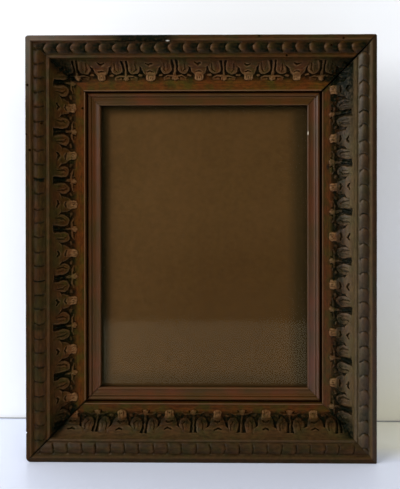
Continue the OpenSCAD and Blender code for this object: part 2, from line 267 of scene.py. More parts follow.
block_swell = add("ShaderNodeMapRange", {0: in_block, 1: 0.14, 2: 0.6, 3: -0.35, 4: 0.0})
block_rise = add("ShaderNodeMath", {0: block_start, 1: block_swell}, operation="ADD")
block_nose = add("ShaderNodeMapRange", {
    0: in_block, 1: 0.9, 2: 1.0, 3: 0.0, 4: 0.7}, interpolation_type="SMOOTHSTEP")
block_number = add("ShaderNodeMath", {0: blocks}, operation="FLOOR")
block_seed = add("ShaderNodeMath", {0: block_number, 1: given["Seed"]}, operation="ADD")
block_odd = add("ShaderNodeTexWhiteNoise", {"W": block_seed}, noise_dimensions="1D")
block_low = add("ShaderNodeMapRange", {0: block_odd, 1: 0.0, 2: 1.0, 3: -0.05, 4: -0.5})
block_shape = add("ShaderNodeMath", {0: block_rise, 1: block_nose}, operation="SUBTRACT")
block_height = add("ShaderNodeMath", {0: block_shape, 1: block_low}, operation="ADD")
bead_zone_in = add("ShaderNodeMapRange", {0: across, 1: BEAD_STARTS[0], 2: BEAD_STARTS[1]})
bead_zone_out = add("ShaderNodeMapRange", {0: across, 1: BEAD_ENDS[0], 2: BEAD_ENDS[1], 3: 1.0, 4: 0.0})
bead_band = add("ShaderNodeMath", {0: bead_zone_in, 1: bead_zone_out}, operation="MULTIPLY")
bead_zone = add("ShaderNodeMath", {0: bead_band, 1: front}, operation="MULTIPLY")
bead_share = add("ShaderNodeMath", {0: bead_zone, 1: given["Bead depth"]}, operation="MULTIPLY")
bead_relief = add("ShaderNodeMath", {0: block_height, 1: bead_share}, operation="MULTIPLY")
relief = add("ShaderNodeMath", {0: leaf_relief, 1: bead_relief}, operation="ADD")

# Planing and wear leave the plain surfaces a little uneven, always within the moulding's own outline.
uneven = add("ShaderNodeTexNoise", {"Vector": flat, "Scale": 0.12, "Detail": 3.0})
sunk = add("ShaderNodeMath", {0: uneven, 1: given["Unevenness"]}, operation="MULTIPLY")
total = add("ShaderNodeMath", {0: relief, 1: sunk}, operation="SUBTRACT")
moved = add("ShaderNodeVectorMath", {0: outward, "Scale": total}, operation="SCALE")
moved_xy = add("ShaderNodeSeparateXYZ", {0: moved})
shift_share = add("ShaderNodeMapRange", {0: across, 1: given["Shift from"], 2: given["Shift to"]})
shift_here = add("ShaderNodeMath", {0: across, 1: given["Shift least"]}, operation="GREATER_THAN")
shift_part = add("ShaderNodeMath", {0: shift_share, 1: shift_here}, operation="MULTIPLY")
shift_by = add("ShaderNodeMath", {0: shift_part, 1: given["Shift"]}, operation="MULTIPLY")
shifted = add("ShaderNodeMath", {0: across, 1: shift_by}, operation="ADD")
across_now = add("ShaderNodeMath", {0: shifted, 1: moved_xy}, operation="ADD")
depth_now = add("ShaderNodeMath", {0: depth, 1: moved_xy.outputs[1]}, operation="ADD")
along_now = mitred(across_now)
along_size = add("ShaderNodeMath", {0: along_now}, operation="ABSOLUTE")
joint_at = add("ShaderNodeMath", {0: half_length, 1: across_now}, operation="SUBTRACT")
open_here = add("ShaderNodeMath", {0: opened(across_now), 1: along_size}, operation="ADD")
from_mitre = add("ShaderNodeMath", {0: joint_at, 1: open_here}, operation="SUBTRACT")

# The frame's outer corners are worn round: a square corner is pressed onto a quarter circle.
wear_radius = at_this_end("corner wear")
from_end = add("ShaderNodeMath", {0: half_length, 1: along_size}, operation="SUBTRACT")
corner_u = add("ShaderNodeMath", {0: wear_radius, 1: from_end}, operation="SUBTRACT")
corner_v = add("ShaderNodeMath", {0: wear_radius, 1: across_now}, operation="SUBTRACT")
corner_up = add("ShaderNodeMath", {0: corner_u, 1: 0.0}, operation="MAXIMUM")
corner_vp = add("ShaderNodeMath", {0: corner_v, 1: 0.0}, operation="MAXIMUM")
corner = add("ShaderNodeCombineXYZ", {0: corner_up, 1: corner_vp})
corner_far = add("ShaderNodeMath", {0: corner_up, 1: corner_vp}, operation="MAXIMUM")
corner_long = add("ShaderNodeVectorMath", {0: corner}, operation="LENGTH")
corner_safe = add("ShaderNodeMath", {0: corner_long.outputs["Value"], 1: 1e-6}, operation="MAXIMUM")
pressed = add("ShaderNodeMath", {0: corner_far, 1: corner_safe}, operation="DIVIDE")
lost = add("ShaderNodeMath", {0: 1.0, 1: pressed}, operation="SUBTRACT")
lost_uv = add("ShaderNodeSeparateXYZ", {
    0: add("ShaderNodeVectorMath", {0: corner, "Scale": lost}, operation="SCALE")})
way = add("ShaderNodeMath", {0: lengthwise}, operation="SIGN")
drawn_in = add("ShaderNodeMath", {0: lost_uv, 1: way}, operation="MULTIPLY")
along_last = add("ShaderNodeMath", {0: along_now, 1: drawn_in}, operation="SUBTRACT")
across_last = add("ShaderNodeMath", {0: across_now, 1: lost_uv.outputs[1]}, operation="ADD")

local = add("ShaderNodeCombineXYZ", {
    0: along_last, 1: add("ShaderNodeMath", {0: depth_now, 1: FRAME_T / 2}, operation="SUBTRACT"),
    2: add("ShaderNodeMath", {0: across_last, 1: given["Edge"]}, operation="SUBTRACT")})
set_place = add("GeometryNodeSetPosition", {
    "Geometry": swept, "Position": add("ShaderNodeVectorMath", {0: local, "Scale": MM}, operation="SCALE")})

# What stands proud of its surroundings is rubbed bare, and dirt and old wax gather in what lies low. The
# grime also carries painted shade low in the cove and in the cove near the mitres.
around = add("GeometryNodeBlurAttribute", {0: depth_now, "Iterations": 7}, data_type="FLOAT")
proud = add("ShaderNodeMath", {0: around, 1: depth_now}, operation="SUBTRACT")
deep = add("ShaderNodeMapRange", {0: relief, 1: given["Grime reach"], 2: given["Grime full"]})
deep_end = add("ShaderNodeMapRange", {0: hand.outputs[1], 1: 35.2, 2: 32.6})
deep_here = add("ShaderNodeMath", {0: deep, 1: deep_end}, operation="MULTIPLY")
deep_grime = add("ShaderNodeMath", {0: deep_here, 1: given["Grime"]}, operation="MULTIPLY")
mitre_near = add("ShaderNodeMapRange", {0: from_mitre, 1: 0.25, 2: 1.0, 3: 1.0, 4: 0.0})
mitre_grime = add("ShaderNodeMath", {0: mitre_near, 1: mitre_dirt}, operation="MULTIPLY")
# Painted shade in the cove near the mitres, where the crossing rail shades it; it reaches furthest on the
# right rail.
corner_reach = at_this_end("corner shade")
corner_share = add("ShaderNodeMapRange", {0: from_mitre, 1: 0.0, 2: corner_reach, 3: 1.25, 4: 0.0})
cove_end = add("ShaderNodeMapRange", {0: across, 1: 35.4, 2: 34.0})
corner_cove = add("ShaderNodeMath", {0: in_cove, 1: cove_end}, operation="MULTIPLY")
corner_painted_shade = add("ShaderNodeMath", {0: corner_share, 1: corner_cove}, operation="MULTIPLY")
# Dirt and painted shade over the lower cove, strongest on the right and bottom rails.
low_from = add("ShaderNodeMapRange", {
    0: hand.outputs[1], 1: given["Lower dirt and shade from"], 2: given["Lower dirt and shade full"]})
low_to = add("ShaderNodeMapRange", {0: hand.outputs[1], 1: 35.4, 2: 32.4})
low_zone = add("ShaderNodeMath", {0: low_from, 1: low_to}, operation="MULTIPLY")
low_dirt_and_shade = add("ShaderNodeMath", {0: low_zone, 1: given["Lower dirt and shade"]}, operation="MULTIPLY")
block_foot = add("ShaderNodeMapRange", {0: in_block, 1: 0.8, 2: 0.3, 3: 0.25, 4: 1.0})
bead_foot = add("ShaderNodeMath", {0: bead_zone, 1: block_foot}, operation="MULTIPLY")
bead_grime = add("ShaderNodeMath", {0: bead_foot, 1: given["Bead grime"]}, operation="MULTIPLY")
rim_front = add("ShaderNodeMapRange", {0: depth, 1: 3.5, 2: 0.9})
PATCH_STRETCHES = (("Rim patch", -1.0, -0.5, 5.4, 6.2), ("Groove patch", 4.2, 4.8, 6.2, 7.0))
patch_grimes = []
for patch, starts, full_from, full_to, ends in PATCH_STRETCHES:
    reach = add("ShaderNodeSeparateXYZ", {0: given[patch]})
    patch_from = add("ShaderNodeMath", {0: hand, 1: reach}, operation="SUBTRACT")
    patch_to = add("ShaderNodeMath", {0: reach.outputs[1], 1: hand}, operation="SUBTRACT")
    patch_inside = add("ShaderNodeMath", {0: patch_from, 1: patch_to}, operation="MINIMUM")
    patch_soft = add("ShaderNodeMapRange", {0: patch_inside, 1: 0.0, 2: 10.0, 3: 0.0, 4: reach.outputs[2]})
    zone_in = add("ShaderNodeMapRange", {0: across, 1: starts, 2: full_from})
    zone_out = add("ShaderNodeMapRange", {0: across, 1: ends, 2: full_to})
    zone = add("ShaderNodeMath", {0: zone_in, 1: zone_out}, operation="MULTIPLY")
    zone_front = add("ShaderNodeMath", {0: zone, 1: rim_front}, operation="MULTIPLY")
    patch_grimes.append(add("ShaderNodeMath", {0: zone_front, 1: patch_soft}, operation="MULTIPLY"))
by_stem = add("ShaderNodeMapRange", {0: leaf_along, 1: 1.9, 2: 1.3})
stem_end = add("ShaderNodeMapRange", {0: hand.outputs[1], 1: 28.5, 2: 26.5})
stem_zone = add("ShaderNodeMath", {0: by_stem, 1: stem_end}, operation="MULTIPLY")
stem_low = add("ShaderNodeMapRange", {0: relief, 1: -0.3, 2: -0.6})
stem_deep = add("ShaderNodeMath", {0: stem_zone, 1: stem_low}, operation="MULTIPLY")
stem_grime = add("ShaderNodeMath", {0: stem_deep, 1: given["Stem grime"]}, operation="MULTIPLY")
grime = deep_grime
for more in (mitre_grime, corner_painted_shade, low_dirt_and_shade, bead_grime, stem_grime, *patch_grimes):
    grime = add("ShaderNodeMath", {0: grime, 1: more}, operation="MAXIMUM")
# The tips' roots stay dark in the same dirt and painted shade, so they are not rubbed pale.
root = add("ShaderNodeMapRange", {0: hand.outputs[1], 1: 29.3, 2: 31.3, 3: 1.0, 4: 0.0})
root_dirt_and_shade = add("ShaderNodeMath", {0: root, 1: given["Lower dirt and shade"]}, operation="MULTIPLY")
clean = add("ShaderNodeMath", {0: 1.0, 1: root_dirt_and_shade}, operation="SUBTRACT")
leaf_worn = add("ShaderNodeMath", {0: worn, 1: clean}, operation="MULTIPLY")
nose_rub = add("ShaderNodeMapRange", {0: in_block, 1: 0.7, 2: 0.88})
nose_middle = add("ShaderNodeMapRange", {0: off_size, 1: 0.85, 2: 0.5})
nose_zone = add("ShaderNodeMath", {0: nose_rub, 1: nose_middle}, operation="MULTIPLY")
nose_worn = add("ShaderNodeMath", {0: nose_zone, 1: given["Bead rub"]}, operation="MULTIPLY")
all_worn = add("ShaderNodeMath", {0: leaf_worn, 1: nose_worn}, operation="MAXIMUM")
worn_clean = add("ShaderNodeMath", {0: all_worn, 1: front}, operation="MULTIPLY")
not_worn = add("ShaderNodeMath", {0: 1.0, 1: worn_clean}, operation="SUBTRACT")
front_grime = add("ShaderNodeMath", {0: grime, 1: front}, operation="MULTIPLY")
grime = add("ShaderNodeMath", {0: front_grime, 1: not_worn}, operation="MULTIPLY")
solid_place = add("ShaderNodeCombineXYZ", {
    0: along, 1: across, 2: add("ShaderNodeMath", {0: depth, 1: given["Seed"]}, operation="ADD")})
bare_back = add("ShaderNodeMapRange", {0: depth, 1: 33.2, 2: 33.9})
spot_front = add("ShaderNodeMath", {0: depth, 1: 24.0}, operation="LESS_THAN")
spot_shares = []
for spot, size in (("Chip place", (0.6, 2.3, 0.0)), ("Mark place", (0.4, 0.6, 0.0))):
    spot_off = add("ShaderNodeVectorMath", {0: flat, 1: given[spot]}, operation="SUBTRACT")
    spot_scaled = add("ShaderNodeVectorMath", {0: spot_off, 1: size}, operation="MULTIPLY")
    spot_far = add("ShaderNodeVectorMath", {0: spot_scaled}, operation="LENGTH")
    spot_on = add("ShaderNodeMapRange", {0: spot_far.outputs["Value"], 1: 1.1, 2: 0.6})
    spot_shares.append(add("ShaderNodeMath", {0: spot_on, 1: spot_front}, operation="MULTIPLY"))
corner_rub = at_this_end("corner rub")
rub_near = add("ShaderNodeMapRange", {0: from_mitre, 1: 6.0, 2: 60.0, 3: corner_rub, 4: 0.0})
rub_rim = add("ShaderNodeMapRange", {0: across, 1: 5.0, 2: 4.2})
rub_front = add("ShaderNodeMath", {0: rub_rim, 1: rim_front}, operation="MULTIPLY")
rim_rubbed = add("ShaderNodeMath", {0: rub_near, 1: rub_front}, operation="MULTIPLY")
chipped_here = add("ShaderNodeMath", {0: spot_shares[0], 1: rim_rubbed}, operation="MAXIMUM")
kept = set_place
for name, value in (("proud", proud), ("grime", grime), ("worn", worn_clean), ("wax", given["Wax"]),
                    ("film", given["Film"]), ("wear", given["Wear"]), ("haze", given["Haze"]),
                    ("moulded", front), ("bare_back", bare_back), ("chip", chipped_here),
                    ("mark", spot_shares[1]), ("wood_place", solid_place)):
    kept = add("GeometryNodeStoreNamedAttribute", {"Geometry": kept, "Name": name, "Value": value},
               data_type="FLOAT_VECTOR" if value is solid_place else "FLOAT", domain="POINT")

# Woodworm holes, drilled where the section's loose points say.
hole_size = add("GeometryNodeInputNamedAttribute", {0: "hole_radius"}, data_type="FLOAT")
is_hole = add("ShaderNodeMath", {0: hole_size, 1: 0.0}, operation="GREATER_THAN")
HOLE_DEPTH, HOLE_SLANT = 7 * MM, (math.pi / 2 + 0.12, 0.0, 0.1)
drill = add("GeometryNodeMeshCylinder", {"Vertices": 12, "Radius": MM, "Depth": HOLE_DEPTH})
holes = add("GeometryNodeInstanceOnPoints", {
    "Points": given["Geometry"], "Selection": is_hole, "Instance": drill.outputs["Mesh"],
    "Rotation": HOLE_SLANT,
    "Scale": add("ShaderNodeCombineXYZ", {0: hole_size, 1: hole_size, 2: 1.0})})
drilled = add("GeometryNodeMeshBoolean", {
    "Mesh 1": kept, "Mesh 2": add("GeometryNodeRealizeInstances", {0: holes})}, solver="MANIFOLD")
has_holes = add("GeometryNodeAttributeStatistic", {0: given["Geometry"], 2: hole_size},
                data_type="FLOAT", domain="POINT")
any_hole = add("ShaderNodeMath", {0: has_holes.outputs["Max"], 1: 0.0}, operation="GREATER_THAN")
chosen = add("GeometryNodeSwitch", {0: any_hole, 1: kept, 2: drilled}, input_type="GEOMETRY")

# Knife cuts and arrises stay crisp.
CRISP_OVER = math.radians(38)
edge_angle = add("GeometryNodeInputMeshEdgeAngle")
crisp = add("ShaderNodeMath", {0: edge_angle, 1: CRISP_OVER}, operation="LESS_THAN")
smooth = add("GeometryNodeSetShadeSmooth", {0: chosen, 2: crisp}, domain="EDGE")
turned = add("GeometryNodeTransform", {
    0: smooth, "Translation": (0, 0, FRAME_H / 2 * MM),
    "Rotation": add("ShaderNodeCombineXYZ", {1: given["Turn"]})})
real = add("GeometryNodeRealizeInstances", {0: turned})
add("NodeGroupOutput", {0: add("GeometryNodeSetMaterial", {0: real, 2: given["Material"]})})


# The cove is an arc about this centre.
COVE_CENTRE, COVE_R = (35.7, -4.63), 19.83


def arc(centre, radius, start, end, step):
    """Points on an arc of the section, in from the outer edge and back from the front. Angles in degrees."""
    count = max(1, round(abs(math.radians(end - start)) * radius / step))
    angles = [math.radians(start + (end - start) * i / count) for i in range(count + 1)]
    return [(centre[0] + radius * math.cos(a), centre[1] + radius * math.sin(a)) for a in angles]


def closed_ring(corners):
    """The section's points in order, gaps between corners filled, and each point's outward normal."""
    points = []
    for (start, step), (end, _) in zip(corners, corners[1:] + corners[:1]):
        count = max(1, math.ceil(math.dist(start, end) / step - 0.01))
        points += [(start[0] + (end[0] - start[0]) * i / count, start[1] + (end[1] - start[1]) * i / count)
                   for i in range(count)]
    normals = []
    for i, (x, y) in enumerate(points):
        (ax, ay), (bx, by) = points[i - 1], points[(i + 1) % len(points)]
        tangent = (bx - ax, by - ay)
        size = math.hypot(*tangent)
        normals.append((tangent[1] / size, -tangent[0] / size))
        to_centre = (COVE_CENTRE[0] - x, COVE_CENTRE[1] - y)
        if abs(math.hypot(*to_centre) - COVE_R) < 0.001:
            normals[-1] = (to_centre[0] / COVE_R, to_centre[1] / COVE_R)
    return points, normals


def in_scene(name, data):
    """An object that shows this mesh, lamp or camera."""
    item = bpy.data.objects.new(name, data)
    bpy.context.scene.collection.objects.link(item)
    return item


# A chip or a mark that a piece doesn't have lies here, far outside it.
NOWHERE = (999.0, 0.0, 0.0)


def mitred_rail(name, corners, sizes, holes=()):
    """Runs one section through the moulding tree and returns the finished plain mesh object."""
    sizes = {"Chip place": NOWHERE, "Mark place": NOWHERE, **sizes}
    points, normals = closed_ring(corners)
    edge = sizes["Edge"]
    loose = [(u * MM, (y - FRAME_T / 2) * MM, (v - edge) * MM) for u, v, y, _ in holes]
    mesh = bpy.data.meshes.new(name)
    mesh.from_pydata([(0, 0, 0)] * len(points) + loose,
                     [(i, (i + 1) % len(points)) for i in range(len(points))], [])
    for i, (x, y) in enumerate(points):
        mesh.vertices[i].co = (x * MM, y * MM, 0)
    for title, values in (("section_place", points), ("section_normal", normals)):
        layer = mesh.attributes.new(title, "FLOAT_VECTOR", "POINT")
        for i, (x, y) in enumerate(values):
            layer.data[i].vector = (x, y, 0)
    radii = mesh.attributes.new("hole_radius", "FLOAT", "POINT")
    for i, hole in enumerate(holes):
        radii.data[len(points) + i].value = hole[3]
    source = in_scene(name + "_section", mesh)
    modifier = source.modifiers.new("Moulding", "NODES")
    modifier.node_group = moulding
    for item in moulding.interface.items_tree:
        if item.in_out == "INPUT" and item.name in sizes:
            modifier[item.identifier] = sizes[item.name]
    evaluated = source.evaluated_get(bpy.context.evaluated_depsgraph_get())
    made = bpy.data.meshes.new_from_object(evaluated)
    bpy.data.objects.remove(source)
    made.name = name
    return in_scene(name, made)


def new_material(name):
    """A material with an empty node tree."""
    material = bpy.data.materials.new(name)
    material.use_nodes = True
    material.node_tree.nodes.clear()
    return material


# How far the stain is rubbed off, by the distance in from the outer edge, up to the rail's whole width. On
# the arris the paler stain is also a painted highlight.
RUBBED_AND_HIGHLIT_EDGES = ((3.0, 0.0), (3.7, 0.25), (4.6, 0.25), (5.2, 0.0), (16.1, 0.0), (16.4, 0.1), (16.8, 0.1),
                (17.1, 0.0), (40.7, 0.0), (40.9, 0.64), (41.8, 0.64))
RUBBED_REACH = 42

# Almost black brown wood with a waxy sheen, duller and darker in the hollows, where dirt sits and shade is
# painted, and paler on the tips, the fillet and the arris, where hands and cloths have rubbed and a
# highlight is painted on the arris. A pale veil of dust and painted sheen lies on the bead and the upper
# cove. Its back is bare.
oak = new_material("Stained and waxed oak, carved and worn")
tree = oak.node_tree
wood = add("ShaderNodeAttribute", attribute_name="wood_place").outputs["Vector"]
grime_and_shade_here = add("ShaderNodeAttribute", attribute_name="grime").outputs["Fac"]
worn_here = add("ShaderNodeAttribute", attribute_name="worn").outputs["Fac"]
proud_here = add("ShaderNodeAttribute", attribute_name="proud").outputs["Fac"]
wax_here = add("ShaderNodeAttribute", attribute_name="wax").outputs["Fac"]
fibre_place = add("ShaderNodeVectorMath", {0: wood, 1: (0.05, 1.6, 1.6)}, operation="MULTIPLY")
fibre = add("ShaderNodeTexNoise", {"Vector": fibre_place, "Scale": 1.0, "Detail": 4.0, "Roughness": 0.6})
patch = add("ShaderNodeTexNoise", {"Vector": wood, "Scale": 0.08, "Detail": 4.0, "Roughness": 0.6})
tone = add("ShaderNodeValToRGB", {0: patch})
tone.color_ramp.elements[0].position, tone.color_ramp.elements[0].color = 0.38, linear("#552b0b")
tone.color_ramp.elements[1].position, tone.color_ramp.elements[1].color = 0.62, linear("#3f330b")
tone.color_ramp.elements.new(0.5).color = linear("#4e2e0a")
across_here = add("ShaderNodeSeparateXYZ", {0: wood}).outputs[1]
outer = add("ShaderNodeMapRange", {0: across_here, 1: 18.0, 2: 32.0, 3: 0.6, 4: 0.0})
stain = add("ShaderNodeMix", {0: outer, 6: tone, 7: linear("#201a07")}, data_type="RGBA").outputs[2]
fibre_share = add("ShaderNodeMapRange", {0: fibre, 1: 0.4, 2: 0.7, 3: 0.0, 4: 0.5})
grained = add("ShaderNodeMix", {0: fibre_share, 6: stain, 7: linear("#1f1206")}, data_type="RGBA").outputs[2]
film_here = add("ShaderNodeAttribute", attribute_name="film").outputs["Fac"]
filmed = add("ShaderNodeMix", {0: film_here, 6: grained, 7: linear("#0f0a03")}, data_type="RGBA").outputs[2]
# A pale olive veil on the bead and the upper cove, strongest on the right rail: dust, and a painted sheen
# where the window light falls.
haze_here = add("ShaderNodeAttribute", attribute_name="haze").outputs["Fac"]
haze_end = add("ShaderNodeMapRange", {0: across_here, 1: 20.0, 2: 29.0, 3: 1.0, 4: 0.0})
haze_start = add("ShaderNodeMapRange", {0: across_here, 1: 6.5, 2: 15.5})
slope_from = add("ShaderNodeMapRange", {0: across_here, 1: 4.0, 2: 4.5})
slope_to = add("ShaderNodeMapRange", {0: across_here, 1: 6.4, 2: 5.7})
on_slope = add("ShaderNodeMath", {0: slope_from, 1: slope_to}, operation="MULTIPLY")
haze_most = add("ShaderNodeMath", {0: haze_start, 1: on_slope}, operation="MAXIMUM")
haze_band = add("ShaderNodeMath", {0: haze_most, 1: haze_end}, operation="MULTIPLY")
haze_share = add("ShaderNodeMath", {0: haze_here, 1: haze_band}, operation="MULTIPLY")
hazed = add("ShaderNodeMix", {0: haze_share, 6: filmed, 7: linear("#70603f")}, data_type="RGBA").outputs[2]
spots = add("ShaderNodeTexNoise", {"Vector": wood, "Scale": 0.5, "Detail": 3.0})
mottle_place = add("ShaderNodeVectorMath", {0: wood, 1: (0.22, 0.5, 0.5)}, operation="MULTIPLY")
mottle = add("ShaderNodeTexNoise", {"Vector": mottle_place, "Scale": 1.0, "Detail": 5.0, "Roughness": 0.75})
mottle_by = add("ShaderNodeMapRange", {0: mottle, 1: 0.3, 2: 0.7, 3: 0.5, 4: 1.5})
mottled = add("ShaderNodeVectorMath", {0: hazed, "Scale": mottle_by}, operation="SCALE")
lines = add("ShaderNodeMath", {0: across_here, 1: 1 / RUBBED_REACH}, operation="MULTIPLY")
edges = add("ShaderNodeValToRGB", {0: lines})
edges.color_ramp.elements[0].position, edges.color_ramp.elements[1].position = 0.0, 1.0
for place, value in RUBBED_AND_HIGHLIT_EDGES:
    edges.color_ramp.elements.new(place / RUBBED_REACH).color = (value, value, value, 1)
wear_here = add("ShaderNodeAttribute", attribute_name="wear").outputs["Fac"]
in_carving = add("ShaderNodeMapRange", {0: across_here, 1: 17.6, 2: 19.2})
carving_wear = add("ShaderNodeMath", {0: in_carving, 1: wear_here}, operation="MULTIPLY")
proud_share = add("ShaderNodeMapRange", {0: proud_here, 1: 0.03, 2: 0.3, 3: 0.0, 4: 0.6})
rubbed_share = add("ShaderNodeMath", {0: proud_share, 1: carving_wear}, operation="MULTIPLY")
moulded = add("ShaderNodeAttribute", attribute_name="moulded").outputs["Fac"]
front_edges = add("ShaderNodeMath", {0: edges, 1: moulded}, operation="MULTIPLY")
rub_and_highlight_most = add("ShaderNodeMath", {0: rubbed_share, 1: front_edges}, operation="MAXIMUM")
rubbed_and_highlit_wood = add("ShaderNodeMix", {
    0: rub_and_highlight_most, 6: mottled, 7: linear("#6c4f31")}, data_type="RGBA").outputs[2]
# The arris is painted paler still: wear, and a painted highlight.
arris_wear_and_highlight = add("ShaderNodeMapRange", {0: front_edges, 1: 0.4, 2: 0.75, 3: 0.0, 4: 0.3})
rubbed = add("ShaderNodeMix", {
    0: arris_wear_and_highlight, 6: rubbed_and_highlit_wood, 7: linear("#8f7462")}, data_type="RGBA").outputs[2]
spot_share = add("ShaderNodeMapRange", {0: spots, 1: 0.3, 2: 0.6, 3: 0.5, 4: 1.05})
# Dirt and painted shade: the hollows, the lower cove and the cove near the mitres are darkened.
grime_and_shade_share = add("ShaderNodeMath", {0: grime_and_shade_here, 1: spot_share}, operation="MULTIPLY")
low_most = add("ShaderNodeMapRange", {0: in_carving, 1: 0.0, 2: 1.0, 3: 0.28, 4: 0.75})
hollow_dirt_and_shade = add("ShaderNodeMapRange", {0: proud_here, 1: -0.12, 2: -0.6, 3: 0.0, 4: low_most})
dirt_and_shade_share = add("ShaderNodeMath", {0: grime_and_shade_share, 1: hollow_dirt_and_shade}, operation="MAXIMUM", use_clamp=True)
dirty_and_shaded = add("ShaderNodeMix", {0: dirt_and_shade_share, 6: rubbed, 7: linear("#0b0f07")}, data_type="RGBA").outputs[2]
tip_share = add("ShaderNodeMapRange", {0: spots, 1: 0.35, 2: 0.6, 3: 0.1, 4: 0.8})
tip_end = add("ShaderNodeMapRange", {0: across_here, 1: 28.5, 2: 32.5, 3: 0.4, 4: 1.0})
tip_place = add("ShaderNodeMath", {0: worn_here, 1: tip_share}, operation="MULTIPLY")
tip_worn = add("ShaderNodeMath", {0: tip_place, 1: tip_end}, operation="MULTIPLY")
tip_here = add("ShaderNodeMath", {0: tip_worn, 1: wear_here}, operation="MULTIPLY")
tipped = add("ShaderNodeMix", {0: tip_here, 6: dirty_and_shaded, 7: linear("#8a6642")}, data_type="RGBA").outputs[2]
chip_here = add("ShaderNodeAttribute", attribute_name="chip").outputs["Fac"]
mark_here = add("ShaderNodeAttribute", attribute_name="mark").outputs["Fac"]
marked = add("ShaderNodeMix", {0: mark_here, 6: tipped, 7: linear("#1c1208")}, data_type="RGBA").outputs[2]
chipped = add("ShaderNodeMix", {0: chip_here, 6: marked, 7: linear("#cfc6b4")}, data_type="RGBA").outputs[2]
bare_here = add("ShaderNodeAttribute", attribute_name="bare_back").outputs["Fac"]
raw = add("ShaderNodeMix", {
    0: fibre_share, 6: linear("#6b5033"), 7: linear("#3b2a1a")}, data_type="RGBA").outputs[2]
raw_dull = add("ShaderNodeVectorMath", {0: raw, "Scale": mottle_by}, operation="SCALE")
skin = add("ShaderNodeMix", {0: bare_here, 6: chipped, 7: raw_dull}, data_type="RGBA").outputs[2]
rough = add("ShaderNodeMapRange", {0: fibre, 1: 0.0, 2: 1.0, 3: 0.36, 4: 0.52})
clean_share = add("ShaderNodeMapRange", {0: dirt_and_shade_share, 1: 0.0, 2: 1.0, 3: 1.0, 4: 0.2})
dull_inside = add("ShaderNodeMapRange", {0: across_here, 1: 19.0, 2: 27.0, 3: 1.0, 4: 0.45})
shine_most = add("ShaderNodeMath", {0: clean_share, 1: dull_inside}, operation="MULTIPLY")
shine = add("ShaderNodeMath", {0: wax_here, 1: shine_most}, operation="MULTIPLY")
bump = add("ShaderNodeBump", {"Height": fibre, "Strength": 0.25, "Distance": 0.0003})
shader = add("ShaderNodeBsdfPrincipled", {
    "Base Color": skin, "Roughness": rough, "Normal": bump, "Specular IOR Level": shine})
add("ShaderNodeOutputMaterial", {0: shader})

# The rail's section from the front's outer edge round to the back: each corner's distance in from the outer
# edge and back from the front, and the step between points up to the next corner.
RAIL_SECTION = (
    [(p, 0.9) for p in arc((0.8, 0.8), 0.8, 180, 270, 0.4)] + [((3.9, 0.0), 0.3), ((4.3, 0.15), 0.5)]
    + [(p, 0.45) for p in arc((9.0, 7.2), 6.3, 235.3, 329.4, 0.45)]
    + [((14.5, 3.92), 0.4), ((15.3, 3.1), 0.3), ((15.6, 3.0), 0.6), ((17.2, 3.0), 0.3)]
    + [(p, 0.43) for p in arc(COVE_CENTRE, COVE_R, 157.4, 91.2, 0.43)] + [((35.7, 15.2), 2.0)]
    + [((36.3, 16.4), 0.9), ((40.6, 16.4), 0.4), ((41.3, 15.75), 0.3), ((41.55, 15.75), 0.2),
       ((41.7, 15.95), 1.5), ((41.7, 20.5), 3.0), ((36.0, 20.5), 5.0), ((36.0, 33.6), 0.6),
       ((35.6, 34.0), 9.0), ((0.7, 34.0), 0.5), ((0.2, 33.8), 0.4), ((0.0, 33.3), 6.0)])
